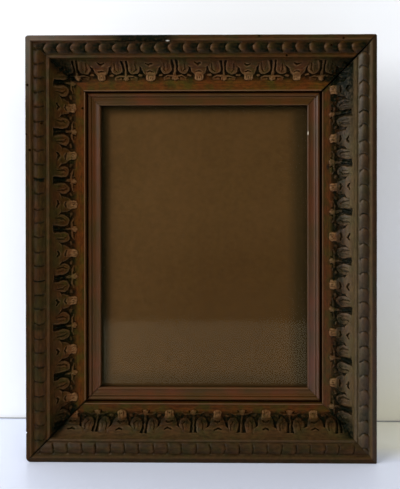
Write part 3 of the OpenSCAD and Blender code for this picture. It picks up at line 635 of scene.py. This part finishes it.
# What differs from rail to rail. Start and end are a rail's two mitres, lengths are in millimetres, openings
# in radians, and a hole's four numbers are its place along, in and back, and its radius.
RAILS = {
    "top": {
        "Leaf pitch": 39.28, "Leaf start": -17.07, "Bead pitch": 11.02, "Bead start": 3.0, "Bead bow": 2.3,
        "Bead depth": 1.0,
        "Start corner wear": 1.6, "Start dirt": 0.9, "End corner wear": 2.6, "End dirt": 0.5,
        "Start corner shade": 28.0, "End corner shade": 24.0, "End corner rub": 0.09,
        "Grime": 0.9, "Grime reach": -0.9, "Grime full": -2.3, "Lower dirt and shade": 0.2,
        "Lower dirt and shade from": 25.5, "Lower dirt and shade full": 28.0, "Bead grime": 1.0,
        "Rim patch": (17.0, 71.0, 1.1), "Groove patch": (26.0, 86.0, 1.0), "Stem grime": 0.1,
        "Wax": 0.14, "Wear": 1.0, "Bead rub": 0.6,
        "Tip shift": -1.3, "Shift": -0.1, "Shift from": 34.0, "Shift to": 40.0,
        "Chip place": (25.8, 4.75, 80.0),
        "holes": [(-111.8, 3.4, 2, 0.8), (-102.5, 8.6, 4, 0.9), (-67.5, 15.9, 4, 0.9),
                  (-46.0, 1.6, 2, 0.8)]},
    "left": {
        "Leaf pitch": 39.3, "Leaf start": -14.81, "Bead pitch": 11.44, "Bead start": 2.6, "Bead bow": 0.9,
        "Bead depth": 0.85,
        "Start corner wear": 2.6, "Start dirt": 0.5,
        "End opening": 0.015, "End corner wear": 3.6, "End dirt": 0.9,
        "Start corner shade": 9.0, "End corner shade": 24.0, "Start corner rub": 0.09,
        "Grime": 0.85, "Grime reach": -0.2, "Grime full": -1.3, "Lower dirt and shade": 0.3,
        "Lower dirt and shade from": 25.5, "Lower dirt and shade full": 28.0, "Bead grime": 0.05,
        "Rim patch": (-180.0, 180.0, 0.1), "Stem grime": 1.25,
        "Wax": 0.08, "Film": 0.1, "Haze": 0.03, "Wear": 0.7,
        "Tip shift": 0.3, "Root shift": 0.5, "Shift": 0.7, "Shift from": 6.0, "Shift to": 16.0,
        "holes": [(-128.7, 2.3, 2, 0.95), (-99.0, 12.3, 4, 0.9), (-112.6, 40.6, 19, 0.9),
                  (-90.2, 1.25, 2, 0.75), (-77.8, 3.7, 2, 0.95), (144.4, 0.3, 2, 1.1)]},
    "bottom": {
        "Leaf pitch": 38.94, "Leaf start": -7.55, "Bead pitch": 11.25, "Bead start": 7.2, "Bead bow": 0.7,
        "Bead depth": 0.9,
        "Start opening": 0.01, "Start corner wear": 3.6, "Start dirt": 0.9,
        "End corner wear": 1.2, "End dirt": 0.5,
        "Start corner shade": 7.0, "End corner shade": 9.0,
        "Grime": 0.95, "Grime reach": -0.5, "Grime full": -1.8, "Lower dirt and shade": 0.8,
        "Lower dirt and shade from": 23.2, "Lower dirt and shade full": 27.2, "Bead grime": 0.35,
        "Rim patch": (-180.0, 180.0, 0.35), "Stem grime": 0.3,
        "Wax": 0.13, "Film": 0.27, "Haze": 0.09, "Wear": 0.38, "Bead rub": 0.3,
        "Tip shift": 1.4, "Root shift": 1.6, "Shift": -0.9, "Shift from": 34.0, "Shift to": 40.0,
        "holes": []},
    "right": {
        "Leaf pitch": 39.29, "Leaf start": -10.76, "Bead pitch": 11.52, "Bead start": 4.4, "Bead bow": 2.6,
        "Bead depth": 0.75,
        "Start corner wear": 1.2, "Start dirt": 0.5,
        "End opening": 0.043, "End corner wear": 1.6, "End dirt": 1.0,
        "Start corner shade": 24.0, "End corner shade": 80.0,
        "Grime": 0.92, "Grime reach": -0.1, "Grime full": -1.2, "Lower dirt and shade": 0.85,
        "Lower dirt and shade from": 22.6, "Lower dirt and shade full": 26.6, "Bead grime": 0.4,
        "Rim patch": (-180.0, 180.0, 0.2), "Stem grime": 1.25,
        "Wax": 0.34, "Film": 0.26, "Haze": 0.27, "Wear": 0.6, "Bead rub": 0.3,
        "Tip shift": 0.8, "Shift": -0.7, "Shift from": 34.5, "Shift to": 40.0,
        "Mark place": (64.6, 36.8, 120.0), "holes": []},
}
COLUMN_STEP = 0.48
for number, (side, angle) in enumerate(SIDES.items()):
    made = RAILS[side]
    upright = side in ("left", "right")
    length = FRAME_H if upright else FRAME_W
    rail = mitred_rail("carved_rail_" + side, RAIL_SECTION, {
        **made, "Length": length, "Columns": round(length / COLUMN_STEP), "Start gap": 0.05, "End gap": 0.05,
        "Unevenness": 0.25, "Edge": (FRAME_W if upright else FRAME_H) / 2,
        "Turn": math.radians(angle), "Seed": 40.0 * number, "Material": oak}, made["holes"])
    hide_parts(side + "_rail")
    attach(rail, "frame")

# Liner
# Four narrow inner mouldings of the same stained wood, mitred and pinned in the rails' rebate. A bead, a
# groove, a shallow hollow and a raised arris run round the sight opening, behind a dark trench.
# The same dark stain with more shine. The arris and the bead are rubbed paler, partly a painted highlight,
# and the trench is painted almost black as its shade.
liner_stain = new_material("Stained and waxed moulding, rubbed on the arris")
tree = liner_stain.node_tree
wood = add("ShaderNodeAttribute", attribute_name="wood_place").outputs["Vector"]
proud_here = add("ShaderNodeAttribute", attribute_name="proud").outputs["Fac"]
wax_here = add("ShaderNodeAttribute", attribute_name="wax").outputs["Fac"]
fibre_place = add("ShaderNodeVectorMath", {0: wood, 1: (0.03, 1.8, 1.8)}, operation="MULTIPLY")
fibre = add("ShaderNodeTexNoise", {"Vector": fibre_place, "Scale": 1.0, "Detail": 4.0, "Roughness": 0.6})
patch = add("ShaderNodeTexNoise", {"Vector": wood, "Scale": 0.05, "Detail": 3.0})
patch_share = add("ShaderNodeMapRange", {0: patch, 1: 0.35, 2: 0.65})
stain = add("ShaderNodeMix", {
    0: patch_share, 6: linear("#50290b"), 7: linear("#3e2b09")}, data_type="RGBA").outputs[2]
fibre_share = add("ShaderNodeMapRange", {0: fibre, 1: 0.4, 2: 0.7, 3: 0.0, 4: 0.4})
grained = add("ShaderNodeMix", {0: fibre_share, 6: stain, 7: linear("#24150a")}, data_type="RGBA").outputs[2]
# The proud bead and arris are painted paler: rubbing, and a painted highlight.
rubbed_share = add("ShaderNodeMapRange", {0: proud_here, 1: 0.05, 2: 0.35, 3: 0.0, 4: 0.6})
rubbed = add("ShaderNodeMix", {
    0: rubbed_share, 6: grained, 7: linear("#6f533a")}, data_type="RGBA").outputs[2]
# Hollows are darkened: dirt, and painted shade.
hollow_dirt_and_shade = add("ShaderNodeMapRange", {0: proud_here, 1: -0.1, 2: -0.5, 3: 0.0, 4: 0.8})
dirty_and_shaded = add("ShaderNodeMix", {0: hollow_dirt_and_shade, 6: rubbed, 7: linear("#0a0704")}, data_type="RGBA").outputs[2]
across_here = add("ShaderNodeSeparateXYZ", {0: wood}).outputs[1]
# Painted shade: the narrow trench between rail and liner is painted almost black, and its shine is taken
# away.
trench_shade_share = add("ShaderNodeMapRange", {0: across_here, 1: 44.0, 2: 43.5})
trench = add("ShaderNodeMix", {0: trench_shade_share, 6: dirty_and_shaded, 7: linear("#150802")}, data_type="RGBA").outputs[2]
chip_here = add("ShaderNodeAttribute", attribute_name="chip").outputs["Fac"]
chipped = add("ShaderNodeMix", {0: chip_here, 6: trench, 7: linear("#cfc6b4")}, data_type="RGBA").outputs[2]
outside_trench_shade = add("ShaderNodeMath", {0: 1.0, 1: trench_shade_share}, operation="SUBTRACT")
sheen = add("ShaderNodeMath", {0: wax_here, 1: outside_trench_shade}, operation="MULTIPLY")
bump = add("ShaderNodeBump", {"Height": fibre, "Strength": 0.2, "Distance": 0.0003})
shader = add("ShaderNodeBsdfPrincipled", {
    "Base Color": chipped, "Roughness": 0.4, "Normal": bump, "Specular IOR Level": sheen})
add("ShaderNodeOutputMaterial", {0: shader})

# The liner's section, from its outer side round the front to the sight edge and the back.
LINER_SECTION = (
    [((36.5, 28.8), 4.0), ((36.5, 20.7), 0.3), ((36.7, 20.5), 2.3), ((43.5, 20.5), 0.4)]
    + [(p, 0.4) for p in arc((45.3, 20.5), 1.7, 183, 352, 0.35)]
    + [((47.05, 20.3), 0.3)]
    + [(p, 0.5) for p in arc((49.9, 14.15), 6.0, 113, 60, 0.5)]
    + [((53.1, 19.3), 0.3), ((53.45, 19.3), 0.2), ((53.7, 19.5), 1.5), ((53.7, 25.0), 2.0),
       ((47.3, 25.0), 2.0), ((47.3, 28.8), 0.3), ((47.1, 29.0), 4.0), ((36.7, 29.0), 0.3)])
# The gap left at each liner piece's two mitres, and how far its front lies nearer to the rail.
LINER_COLUMN_STEP = 1.2
LINER_MITRES = {"top": (0.16, 0.16), "left": (0.16, 0.3), "bottom": (0.3, 0.16), "right": (0.16, 0.35)}
LINER_NEARER_RAIL = {"top": 1.1, "left": 0.15, "bottom": 1.6, "right": 1.15}
for number, (side, angle) in enumerate(SIDES.items()):
    upright = side in ("left", "right")
    length = FRAME_H if upright else FRAME_W
    liner = mitred_rail("liner_moulding_" + side, LINER_SECTION, {
        "Length": length, "Columns": round(length / LINER_COLUMN_STEP),
        "Start gap": LINER_MITRES[side][0], "End gap": LINER_MITRES[side][1],
        "Leaf pitch": 40.0, "Bead pitch": 11.0, "Unevenness": 0.12,
        "Edge": (FRAME_W if upright else FRAME_H) / 2, "Turn": math.radians(angle),
        "Shift": -LINER_NEARER_RAIL[side], "Shift from": 90.0, "Shift to": 80.0, "Shift least": 43.0,
        "Chip place": (91.3, 53.4, 0.0) if side == "right" else NOWHERE,
        "Seed": 300.0 + 40.0 * number, "Wax": 0.5 if side == "right" else 0.18, "Material": liner_stain})
    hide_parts("liner_" + side)
    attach(liner, "frame")

# Glass
# One pane of old drawn glass, 180 x 240 x 2 mm, loose in the liner's rebate. It shines faintly, and a film
# of dust lies on it, thicker lower down.
# Nearly clear. Its front mirrors the bright room faintly, and the dust lays a pale veil over the card below.
glass = new_material("Old drawn window glass, dusty")
tree = glass.node_tree
place = add("ShaderNodeTexCoord").outputs["Object"]
height_here = add("ShaderNodeSeparateXYZ", {0: place}).outputs[2]
speck = add("ShaderNodeTexNoise", {"Vector": place, "Scale": 20.0, "Detail": 3.0})
low = add("ShaderNodeMapRange", {0: height_here, 1: 0.14, 2: 0.07, 3: 0.002, 4: 0.005})
film = add("ShaderNodeMapRange", {0: speck, 1: 0.3, 2: 0.7, 3: 0.8, 4: 1.2})
glass_dust_and_joint_shadow = add("ShaderNodeMath", {0: low, 1: film}, operation="MULTIPLY")
from_inside = add("ShaderNodeNewGeometry").outputs["Backfacing"]
outer_face = add("ShaderNodeMath", {0: 1.0, 1: from_inside}, operation="SUBTRACT")
shine_most = add("ShaderNodeFresnel", {"IOR": 1.37})
shine = add("ShaderNodeMath", {0: shine_most, 1: outer_face}, operation="MULTIPLY")
clear = add("ShaderNodeBsdfTransparent", {0: linear("#f4f6ee")})
gloss = add("ShaderNodeBsdfGlossy", {"Color": linear("#ffe8b2"), "Roughness": 0.07})
powder = add("ShaderNodeBsdfDiffuse", {"Color": linear("#b9ad93")})
pane = add("ShaderNodeMixShader", {0: shine, 1: clear, 2: gloss})
dusty = add("ShaderNodeMixShader", {0: glass_dust_and_joint_shadow, 1: pane, 2: powder})
add("ShaderNodeOutputMaterial", {0: dusty})
GLASS_W, GLASS_H, GLASS_FRONT, GLASS_T, GLASS_CHAMFER = 180.0, 240.0, 8.0, 1.9, 0.25
rings = [(0, GLASS_CHAMFER), (GLASS_CHAMFER, 0), (GLASS_T - GLASS_CHAMFER, 0), (GLASS_T, GLASS_CHAMFER)]
corners = []
for back, inset in rings:
    half_w, half_h = GLASS_W / 2 - inset, GLASS_H / 2 - inset
    corners += [(x * half_w * MM, (GLASS_FRONT + back) * MM, (FRAME_H / 2 + z * half_h) * MM)
                for x, z in ((-1, -1), (1, -1), (1, 1), (-1, 1))]
faces = [(0, 1, 2, 3), (15, 14, 13, 12)]
for ring in range(3):
    faces += [(ring * 4 + (i + 1) % 4, ring * 4 + i, ring * 4 + i + 4, ring * 4 + (i + 1) % 4 + 4)
              for i in range(4)]
mesh = bpy.data.meshes.new("glass_sheet")
mesh.from_pydata(corners, [], faces)
mesh.materials.append(glass)
pane_of_glass = in_scene("glass_sheet", mesh)
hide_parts("glass_pane")
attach(pane_of_glass, "frame")

# Backing card
# A plain sheet of brown card, cut to the glass and held against it by the back board. Shade is painted on
# it:
# darker towards the right and lower down, and a painted shadow of the liner along its edges.

# Matt brown with soft clouds, upright streaks and the speckle of the pulp, so it reads as old card.
card = new_material("Brown card, streaked, with painted shade")
tree = card.node_tree
place = add("ShaderNodeTexCoord").outputs["Object"]
streak_place = add("ShaderNodeMapping", {"Vector": place, "Scale": (60.0, 1.0, 12.0)})
streak = add("ShaderNodeTexNoise", {"Vector": streak_place, "Scale": 1.0, "Detail": 4.0})
cloud = add("ShaderNodeTexNoise", {"Vector": place, "Scale": 9.0, "Detail": 3.0})
fade = add("ShaderNodeMapRange", {0: cloud, 1: 0.3, 2: 0.7})
tone = add("ShaderNodeMix", {
    0: fade, 6: linear("#68482d"), 7: linear("#5e4026")}, data_type="RGBA").outputs[2]
card_x = add("ShaderNodeSeparateXYZ", {0: place})
# Painted shade: darker towards the right, lower down, and under the liner at the left and the top.
shade_x = add("ShaderNodeMapRange", {0: card_x, 1: -0.073, 2: 0.0, 3: 0.0, 4: 0.53})
shade_low = add("ShaderNodeMapRange", {0: card_x.outputs[2], 1: 0.193, 2: 0.153, 3: 0.0, 4: 0.36})
shade_top = add("ShaderNodeMapRange", {0: card_x.outputs[2], 1: 0.272, 2: 0.283, 3: 0.0, 4: 0.6})
shade_left = add("ShaderNodeMapRange", {0: card_x, 1: -0.077, 2: -0.082, 3: 0.0, 4: 0.45})
# A painted shadow of the liner along the four edges of the sight.
edge_left = add("ShaderNodeMapRange", {0: card_x, 1: -0.077, 2: -0.0835, 3: 0.0, 4: 0.9})
edge_top = add("ShaderNodeMapRange", {0: card_x.outputs[2], 1: 0.276, 2: 0.2815, 3: 0.0, 4: 0.75})
edge_right = add("ShaderNodeMapRange", {0: card_x, 1: 0.0685, 2: 0.0775, 3: 0.0, 4: 0.6})
edge_low = add("ShaderNodeMapRange", {0: card_x.outputs[2], 1: 0.065, 2: 0.058, 3: 0.0, 4: 0.25})
edge_shadow_most = edge_left
for edge in (edge_top, edge_right, edge_low):
    edge_shadow_most = add("ShaderNodeMath", {0: edge_shadow_most, 1: edge}, operation="MAXIMUM")
shade_edge = add("ShaderNodeMath", {0: shade_left, 1: shade_top}, operation="MAXIMUM")
shade_most = add("ShaderNodeMath", {0: shade_x, 1: shade_edge}, operation="MAXIMUM")
shade = add("ShaderNodeMath", {0: shade_most, 1: shade_low}, operation="ADD", use_clamp=True)
shaded = add("ShaderNodeMix", {0: shade, 6: tone, 7: linear("#4f3319")}, data_type="RGBA").outputs[2]
streak_share = add("ShaderNodeMapRange", {0: streak, 1: 0.4, 2: 0.7, 3: 0.0, 4: 0.25})
streaked = add("ShaderNodeMix", {
    0: streak_share, 6: shaded, 7: linear("#52391b")}, data_type="RGBA").outputs[2]
pulp = add("ShaderNodeTexNoise", {"Vector": place, "Scale": 260.0, "Detail": 3.0, "Roughness": 0.7})
pulp_by = add("ShaderNodeMapRange", {0: pulp, 1: 0.3, 2: 0.7, 3: 0.87, 4: 1.13})
pulped = add("ShaderNodeVectorMath", {0: streaked, "Scale": pulp_by}, operation="SCALE")
edge_shadowed = add("ShaderNodeMix", {0: edge_shadow_most, 6: pulped, 7: linear("#1f1c0e")}, data_type="RGBA").outputs[2]
fuzz = add("ShaderNodeTexNoise", {"Vector": place, "Scale": 900.0, "Detail": 2.0})
bump = add("ShaderNodeBump", {"Height": fuzz, "Strength": 0.15, "Distance": 0.0002})
shader = add("ShaderNodeBsdfPrincipled", {
    "Base Color": edge_shadowed, "Roughness": 0.9, "Normal": bump, "Specular IOR Level": 0.15})
add("ShaderNodeOutputMaterial", {0: shader})
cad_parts["backing_card"].data.materials.clear()
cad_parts["backing_card"].data.materials.append(card)

# Back board
# One thin board of planed softwood, its edges eased with a plane, which lies in the rails' rebate behind the
# liner and presses the card and the glass against it.
# Dull yellow brown with curved growth rings, fine fibres and dark stains, and hardly any shine.
softwood = new_material("Bare softwood board, planed and aged")
tree = softwood.node_tree
place = add("ShaderNodeTexCoord").outputs["Object"]
warp_place = add("ShaderNodeMapping", {"Vector": place, "Scale": (26.0, 26.0, 5.0)})
warp = add("ShaderNodeTexNoise", {"Vector": warp_place, "Scale": 1.0, "Detail": 2.0})
warp_by = add("ShaderNodeVectorMath", {0: warp.outputs["Color"], "Scale": 0.016}, operation="SCALE")
grown = add("ShaderNodeSeparateXYZ", {
    0: add("ShaderNodeVectorMath", {0: place, 1: warp_by}, operation="ADD")})
heart = add("ShaderNodeMath", {0: grown.outputs[2], 1: 0.07, 2: grown.outputs[1]}, operation="MULTIPLY_ADD")
trunk = add("ShaderNodeCombineXYZ", {
    0: add("ShaderNodeMath", {0: grown, 1: -0.035}, operation="ADD"), 1: heart})
rings = add("ShaderNodeTexWave", {"Vector": trunk, "Scale": 85.0, "Distortion": 0.6, "Detail": 2.0},
            wave_type="RINGS", rings_direction="Z", wave_profile="SAW")
ring_share = add("ShaderNodeMapRange", {0: rings, 1: 0.35, 2: 1.0, 3: 0.0, 4: 0.6})
early = add("ShaderNodeMix", {
    0: ring_share, 6: linear("#8f6f48"), 7: linear("#6b4b2b")}, data_type="RGBA").outputs[2]
fine_place = add("ShaderNodeMapping", {"Vector": place, "Scale": (1400.0, 1400.0, 40.0)})
fine = add("ShaderNodeTexNoise", {"Vector": fine_place, "Scale": 1.0, "Detail": 3.0})
fine_share = add("ShaderNodeMapRange", {0: fine, 1: 0.4, 2: 0.7, 3: 0.0, 4: 0.35})
planed = add("ShaderNodeMix", {0: fine_share, 6: early, 7: linear("#5b3d24")}, data_type="RGBA").outputs[2]
stain = add("ShaderNodeTexNoise", {"Vector": place, "Scale": 14.0, "Detail": 5.0})
stain_share = add("ShaderNodeMapRange", {0: stain, 1: 0.45, 2: 0.75, 3: 0.0, 4: 0.5})
aged = add("ShaderNodeMix", {0: stain_share, 6: planed, 7: linear("#4c3626")}, data_type="RGBA").outputs[2]
bump = add("ShaderNodeBump", {"Height": fine, "Strength": 0.3, "Distance": 0.0003})
shader = add("ShaderNodeBsdfPrincipled", {
    "Base Color": aged, "Roughness": 0.8, "Normal": bump, "Specular IOR Level": 0.2})
add("ShaderNodeOutputMaterial", {0: shader})


# Points closer than this are one point. Edges sharper than the first angle are eased, and edges flatter than
# the second are shaded smooth.
ONE_POINT = 0.002 * MM
EASED_OVER, SMOOTH_UNDER = math.radians(40), math.radians(32)


def softened(node, name, bevel, material, body="frame"):
    """A merged copy of a plain node with its sharp edges eased, in its own material, in the node's place."""
    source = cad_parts[node]
    mesh = source.data.copy()
    mesh.transform(source.matrix_world)
    shape = bmesh.new()
    shape.from_mesh(mesh)
    bmesh.ops.remove_doubles(shape, verts=shape.verts, dist=ONE_POINT)
    bmesh.ops.dissolve_limit(shape, angle_limit=math.radians(1), verts=shape.verts, edges=shape.edges)
    sharp = [e for e in shape.edges if e.is_manifold and e.calc_face_angle() > EASED_OVER]
    if sharp:
        bmesh.ops.bevel(shape, geom=sharp, offset=bevel * MM, offset_type="OFFSET", segments=2, profile=0.5,
                        affect="EDGES", clamp_overlap=False)
    for face in shape.faces:
        face.smooth = True
    shape.to_mesh(mesh)
    shape.free()
    mesh.name = name
    mesh.set_sharp_from_angle(angle=SMOOTH_UNDER)
    mesh.materials.clear()
    mesh.materials.append(material)
    piece = in_scene(name, mesh)
    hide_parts(node)
    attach(piece, body)
    return piece


softened("back_board", "planed_back_board", 0.8, softwood)

# Corner nails and liner pins
# Cut iron nails, two a corner, driven in from the rails' outer sides across the mitre, and thin iron pins
# that hold the liner in the rails' rebate.

# Nearly black metal with a dull shine, broken up by matt brown rust.
iron = new_material("Drawn iron, dull and rusting")
tree = iron.node_tree
place = add("ShaderNodeTexCoord").outputs["Object"]
rust = add("ShaderNodeTexNoise", {"Vector": place, "Scale": 700.0, "Detail": 5.0, "Roughness": 0.65})
rust_share = add("ShaderNodeMapRange", {0: rust, 1: 0.42, 2: 0.62})
skin = add("ShaderNodeMix", {
    0: rust_share, 6: linear("#2b2623"), 7: linear("#5d3219")}, data_type="RGBA").outputs[2]
metal = add("ShaderNodeMapRange", {0: rust, 1: 0.42, 2: 0.62, 3: 0.8, 4: 0.0})
rough = add("ShaderNodeMapRange", {0: rust, 1: 0.42, 2: 0.62, 3: 0.5, 4: 0.9})
bump = add("ShaderNodeBump", {"Height": rust, "Strength": 0.3, "Distance": 0.0001})
shader = add("ShaderNodeBsdfPrincipled", {
    "Base Color": skin, "Roughness": rough, "Metallic": metal, "Normal": bump})
add("ShaderNodeOutputMaterial", {0: shader})
softened("corner_nails", "driven_corner_nails", 0.15, iron)
softened("liner_pins", "driven_liner_pins", 0.08, iron)

# Turn-buttons
# Six small plates of sheet brass, punched out and filed, each turning on a screw behind the back board's
# edge. Turned in, they hold the board in its rebate.

# Yellow metal under brown tarnish, with fine file marks that blur its shine.
brass = new_material("Sheet brass, filed and tarnished")
tree = brass.node_tree
place = add("ShaderNodeTexCoord").outputs["Object"]
tarnish = add("ShaderNodeTexNoise", {"Vector": place, "Scale": 260.0, "Detail": 5.0, "Roughness": 0.6})
tarnish_share = add("ShaderNodeMapRange", {0: tarnish, 1: 0.4, 2: 0.65, 3: 0.1, 4: 0.85})
skin = add("ShaderNodeMix", {
    0: tarnish_share, 6: linear("#a07c3c"), 7: linear("#4a371b")}, data_type="RGBA").outputs[2]
rough = add("ShaderNodeMapRange", {0: tarnish, 1: 0.4, 2: 0.65, 3: 0.35, 4: 0.65})
filed = add("ShaderNodeMapping", {"Vector": place, "Scale": (300.0, 300.0, 4000.0)})
scratch = add("ShaderNodeTexNoise", {"Vector": filed, "Scale": 1.0, "Detail": 2.0})
bump = add("ShaderNodeBump", {"Height": scratch, "Strength": 0.15, "Distance": 0.00005})
shader = add("ShaderNodeBsdfPrincipled", {
    "Base Color": skin, "Roughness": rough, "Metallic": 0.95, "Normal": bump})
add("ShaderNodeOutputMaterial", {0: shader})
for where in ("left", "right", "top_left", "top_right", "bottom_left", "bottom_right"):
    softened("turn_button_" + where, "brass_button_" + where, 0.3, brass, "button_" + where)

# Turn-button screws
# Six slotted brass screws with raised heads, one through each turn-button into the rail's back, loose enough
# for the button to turn.
softened("turn_button_screws", "slotted_screws", 0.2, brass)

# Hanging eye
# An iron screw eye, bent from a rod and screwed into the middle of the top rail's back, where it carries the
# ring.
softened("hanging_eye", "iron_screw_eye", 0.1, iron)

# Hanging ring
# A ring of thick brass wire, bent round with its ends brazed together. It hangs loose in the eye, so it can
# swing up to a hook.
softened("hanging_ring", "brass_wire_ring", 0.1, brass, "ring")

# Stage
# A pale wall close behind and a pale table below, with a painted grey shadow line in the joint between them,
# lit by a window at the left and by the room; the wall carries painted shade and the table painted light at
# the right.

# Flat white paint, with painted shade, warmer and darker, at the lower right, and clear when it is seen from
# behind.
paper = new_material("Pale matt painted board")
tree = paper.node_tree
behind = add("ShaderNodeNewGeometry").outputs["Backfacing"]
wall_place = add("ShaderNodeSeparateXYZ", {0: add("ShaderNodeTexCoord").outputs["Object"]})
wall_right = add("ShaderNodeMapRange", {0: wall_place, 1: -0.05, 2: 0.1})
wall_low = add("ShaderNodeMapRange", {0: wall_place.outputs[2], 1: 0.157, 2: 0.01})
wall_painted_shade = add("ShaderNodeMath", {0: wall_right, 1: wall_low}, operation="MULTIPLY")
wall_paint = add("ShaderNodeMix", {
    0: wall_painted_shade, 6: linear("#f5f8fc"), 7: linear("#e9e7d7")}, data_type="RGBA").outputs[2]
chalk = add("ShaderNodeBsdfDiffuse", {"Color": wall_paint})
nothing = add("ShaderNodeBsdfTransparent")
add("ShaderNodeOutputMaterial", {0: add("ShaderNodeMixShader", {0: behind, 1: chalk, 2: nothing})})
# Cool white with a soft reflection, and painted light, warmer and brighter, at the right behind the frame's
# front.
laminate = new_material("Pale table top with a faint sheen")
tree = laminate.node_tree
table_place = add("ShaderNodeSeparateXYZ", {0: add("ShaderNodeTexCoord").outputs["Object"]})
table_right = add("ShaderNodeMapRange", {0: table_place, 1: 0.1, 2: 0.14})
table_far = add("ShaderNodeMapRange", {0: table_place.outputs[1], 1: -0.012, 2: 0.012})
table_painted_light = add("ShaderNodeMath", {0: table_right, 1: table_far}, operation="MULTIPLY")
table_skin = add("ShaderNodeMix", {
    0: table_painted_light, 6: linear("#e5ecfe"), 7: linear("#fdfdf1")}, data_type="RGBA").outputs[2]
shader = add("ShaderNodeBsdfPrincipled", {"Base Color": table_skin, "Roughness": 0.32})
add("ShaderNodeOutputMaterial", {0: shader})
# A thin dull grey line: a painted shadow in the joint.
glass_dust_and_joint_shadow = bpy.data.materials.new("Grey painted shadow line at a joint")
glass_dust_and_joint_shadow.use_nodes = True
glass_dust_and_joint_shadow.node_tree.nodes["Principled BSDF"].inputs["Base Color"].default_value = linear("#a2a4a8")
glass_dust_and_joint_shadow.node_tree.nodes["Principled BSDF"].inputs["Roughness"].default_value = 0.9
TABLE_FRONT, JOINT_LIFT = -0.426, 0.0003
WALL_AT, JOINT_AT = (0.090, 0.043), (0.0876, 0.0406)
for name, material, corners in (
        ("table_top", laminate, [(-2, TABLE_FRONT, 0), (2, TABLE_FRONT, 0), (2, 2, 0), (-2, 2, 0)]),
        ("table_joint", glass_dust_and_joint_shadow, [(-2, JOINT_AT[0], JOINT_LIFT), (2, JOINT_AT[1], JOINT_LIFT),
                               (2, WALL_AT[1], JOINT_LIFT), (-2, WALL_AT[0], JOINT_LIFT)]),
        ("wall", paper, [(-2, WALL_AT[0], 0), (2, WALL_AT[1], 0), (2, WALL_AT[1], 2), (-2, WALL_AT[0], 2)])):
    mesh = bpy.data.meshes.new(name)
    mesh.from_pydata(corners, [], [(0, 1, 2, 3)])
    mesh.materials.append(material)
    plane = in_scene(name, mesh)
    if name == "wall":
        plane.visible_shadow = False

for name, place, aim, size, power in (
        ("window_light", (-1.25, -0.8, 0.85), (0, 0, 0.17), 1.3, 26.4),
        ("room_light", (0.9, -1.4, 0.7), (0, 0, 0.17), 1.2, 9.5)):
    lamp = bpy.data.lights.new(name, "AREA")
    lamp.size = size
    lamp.energy = power
    lamp_object = in_scene(name, lamp)
    lamp_object.location = place
    direction = mathutils.Vector([a - p for a, p in zip(aim, place)])
    lamp_object.rotation_euler = direction.to_track_quat("-Z", "Y").to_euler()
    lamp_object.visible_glossy = name == "window_light"
world = bpy.data.worlds.new("Room")
world.use_nodes = True
world.node_tree.nodes["Background"].inputs["Color"].default_value = linear("#f6f3ee")
world.node_tree.nodes["Background"].inputs["Strength"].default_value = 0.405
world.cycles_visibility.glossy = False
bpy.context.scene.world = world
bpy.context.scene.view_settings.view_transform = "Standard"

# Camera
# Where the photographer stood: a little right of the middle and above it, looking level. The lens's shift
# puts the frame where it is in the picture.
lens = bpy.data.cameras.new("Camera")
lens.lens = 42.17
lens.sensor_width = 36.0
lens.sensor_fit = "AUTO"
lens.shift_x = -0.1108
lens.shift_y = -0.1191
camera = in_scene("Camera", lens)
camera.location = (0.0472, -0.4639, 0.2192)
camera.rotation_euler = (math.pi / 2 - 0.005, 0.0006, 0.0118)
bpy.context.scene.camera = camera
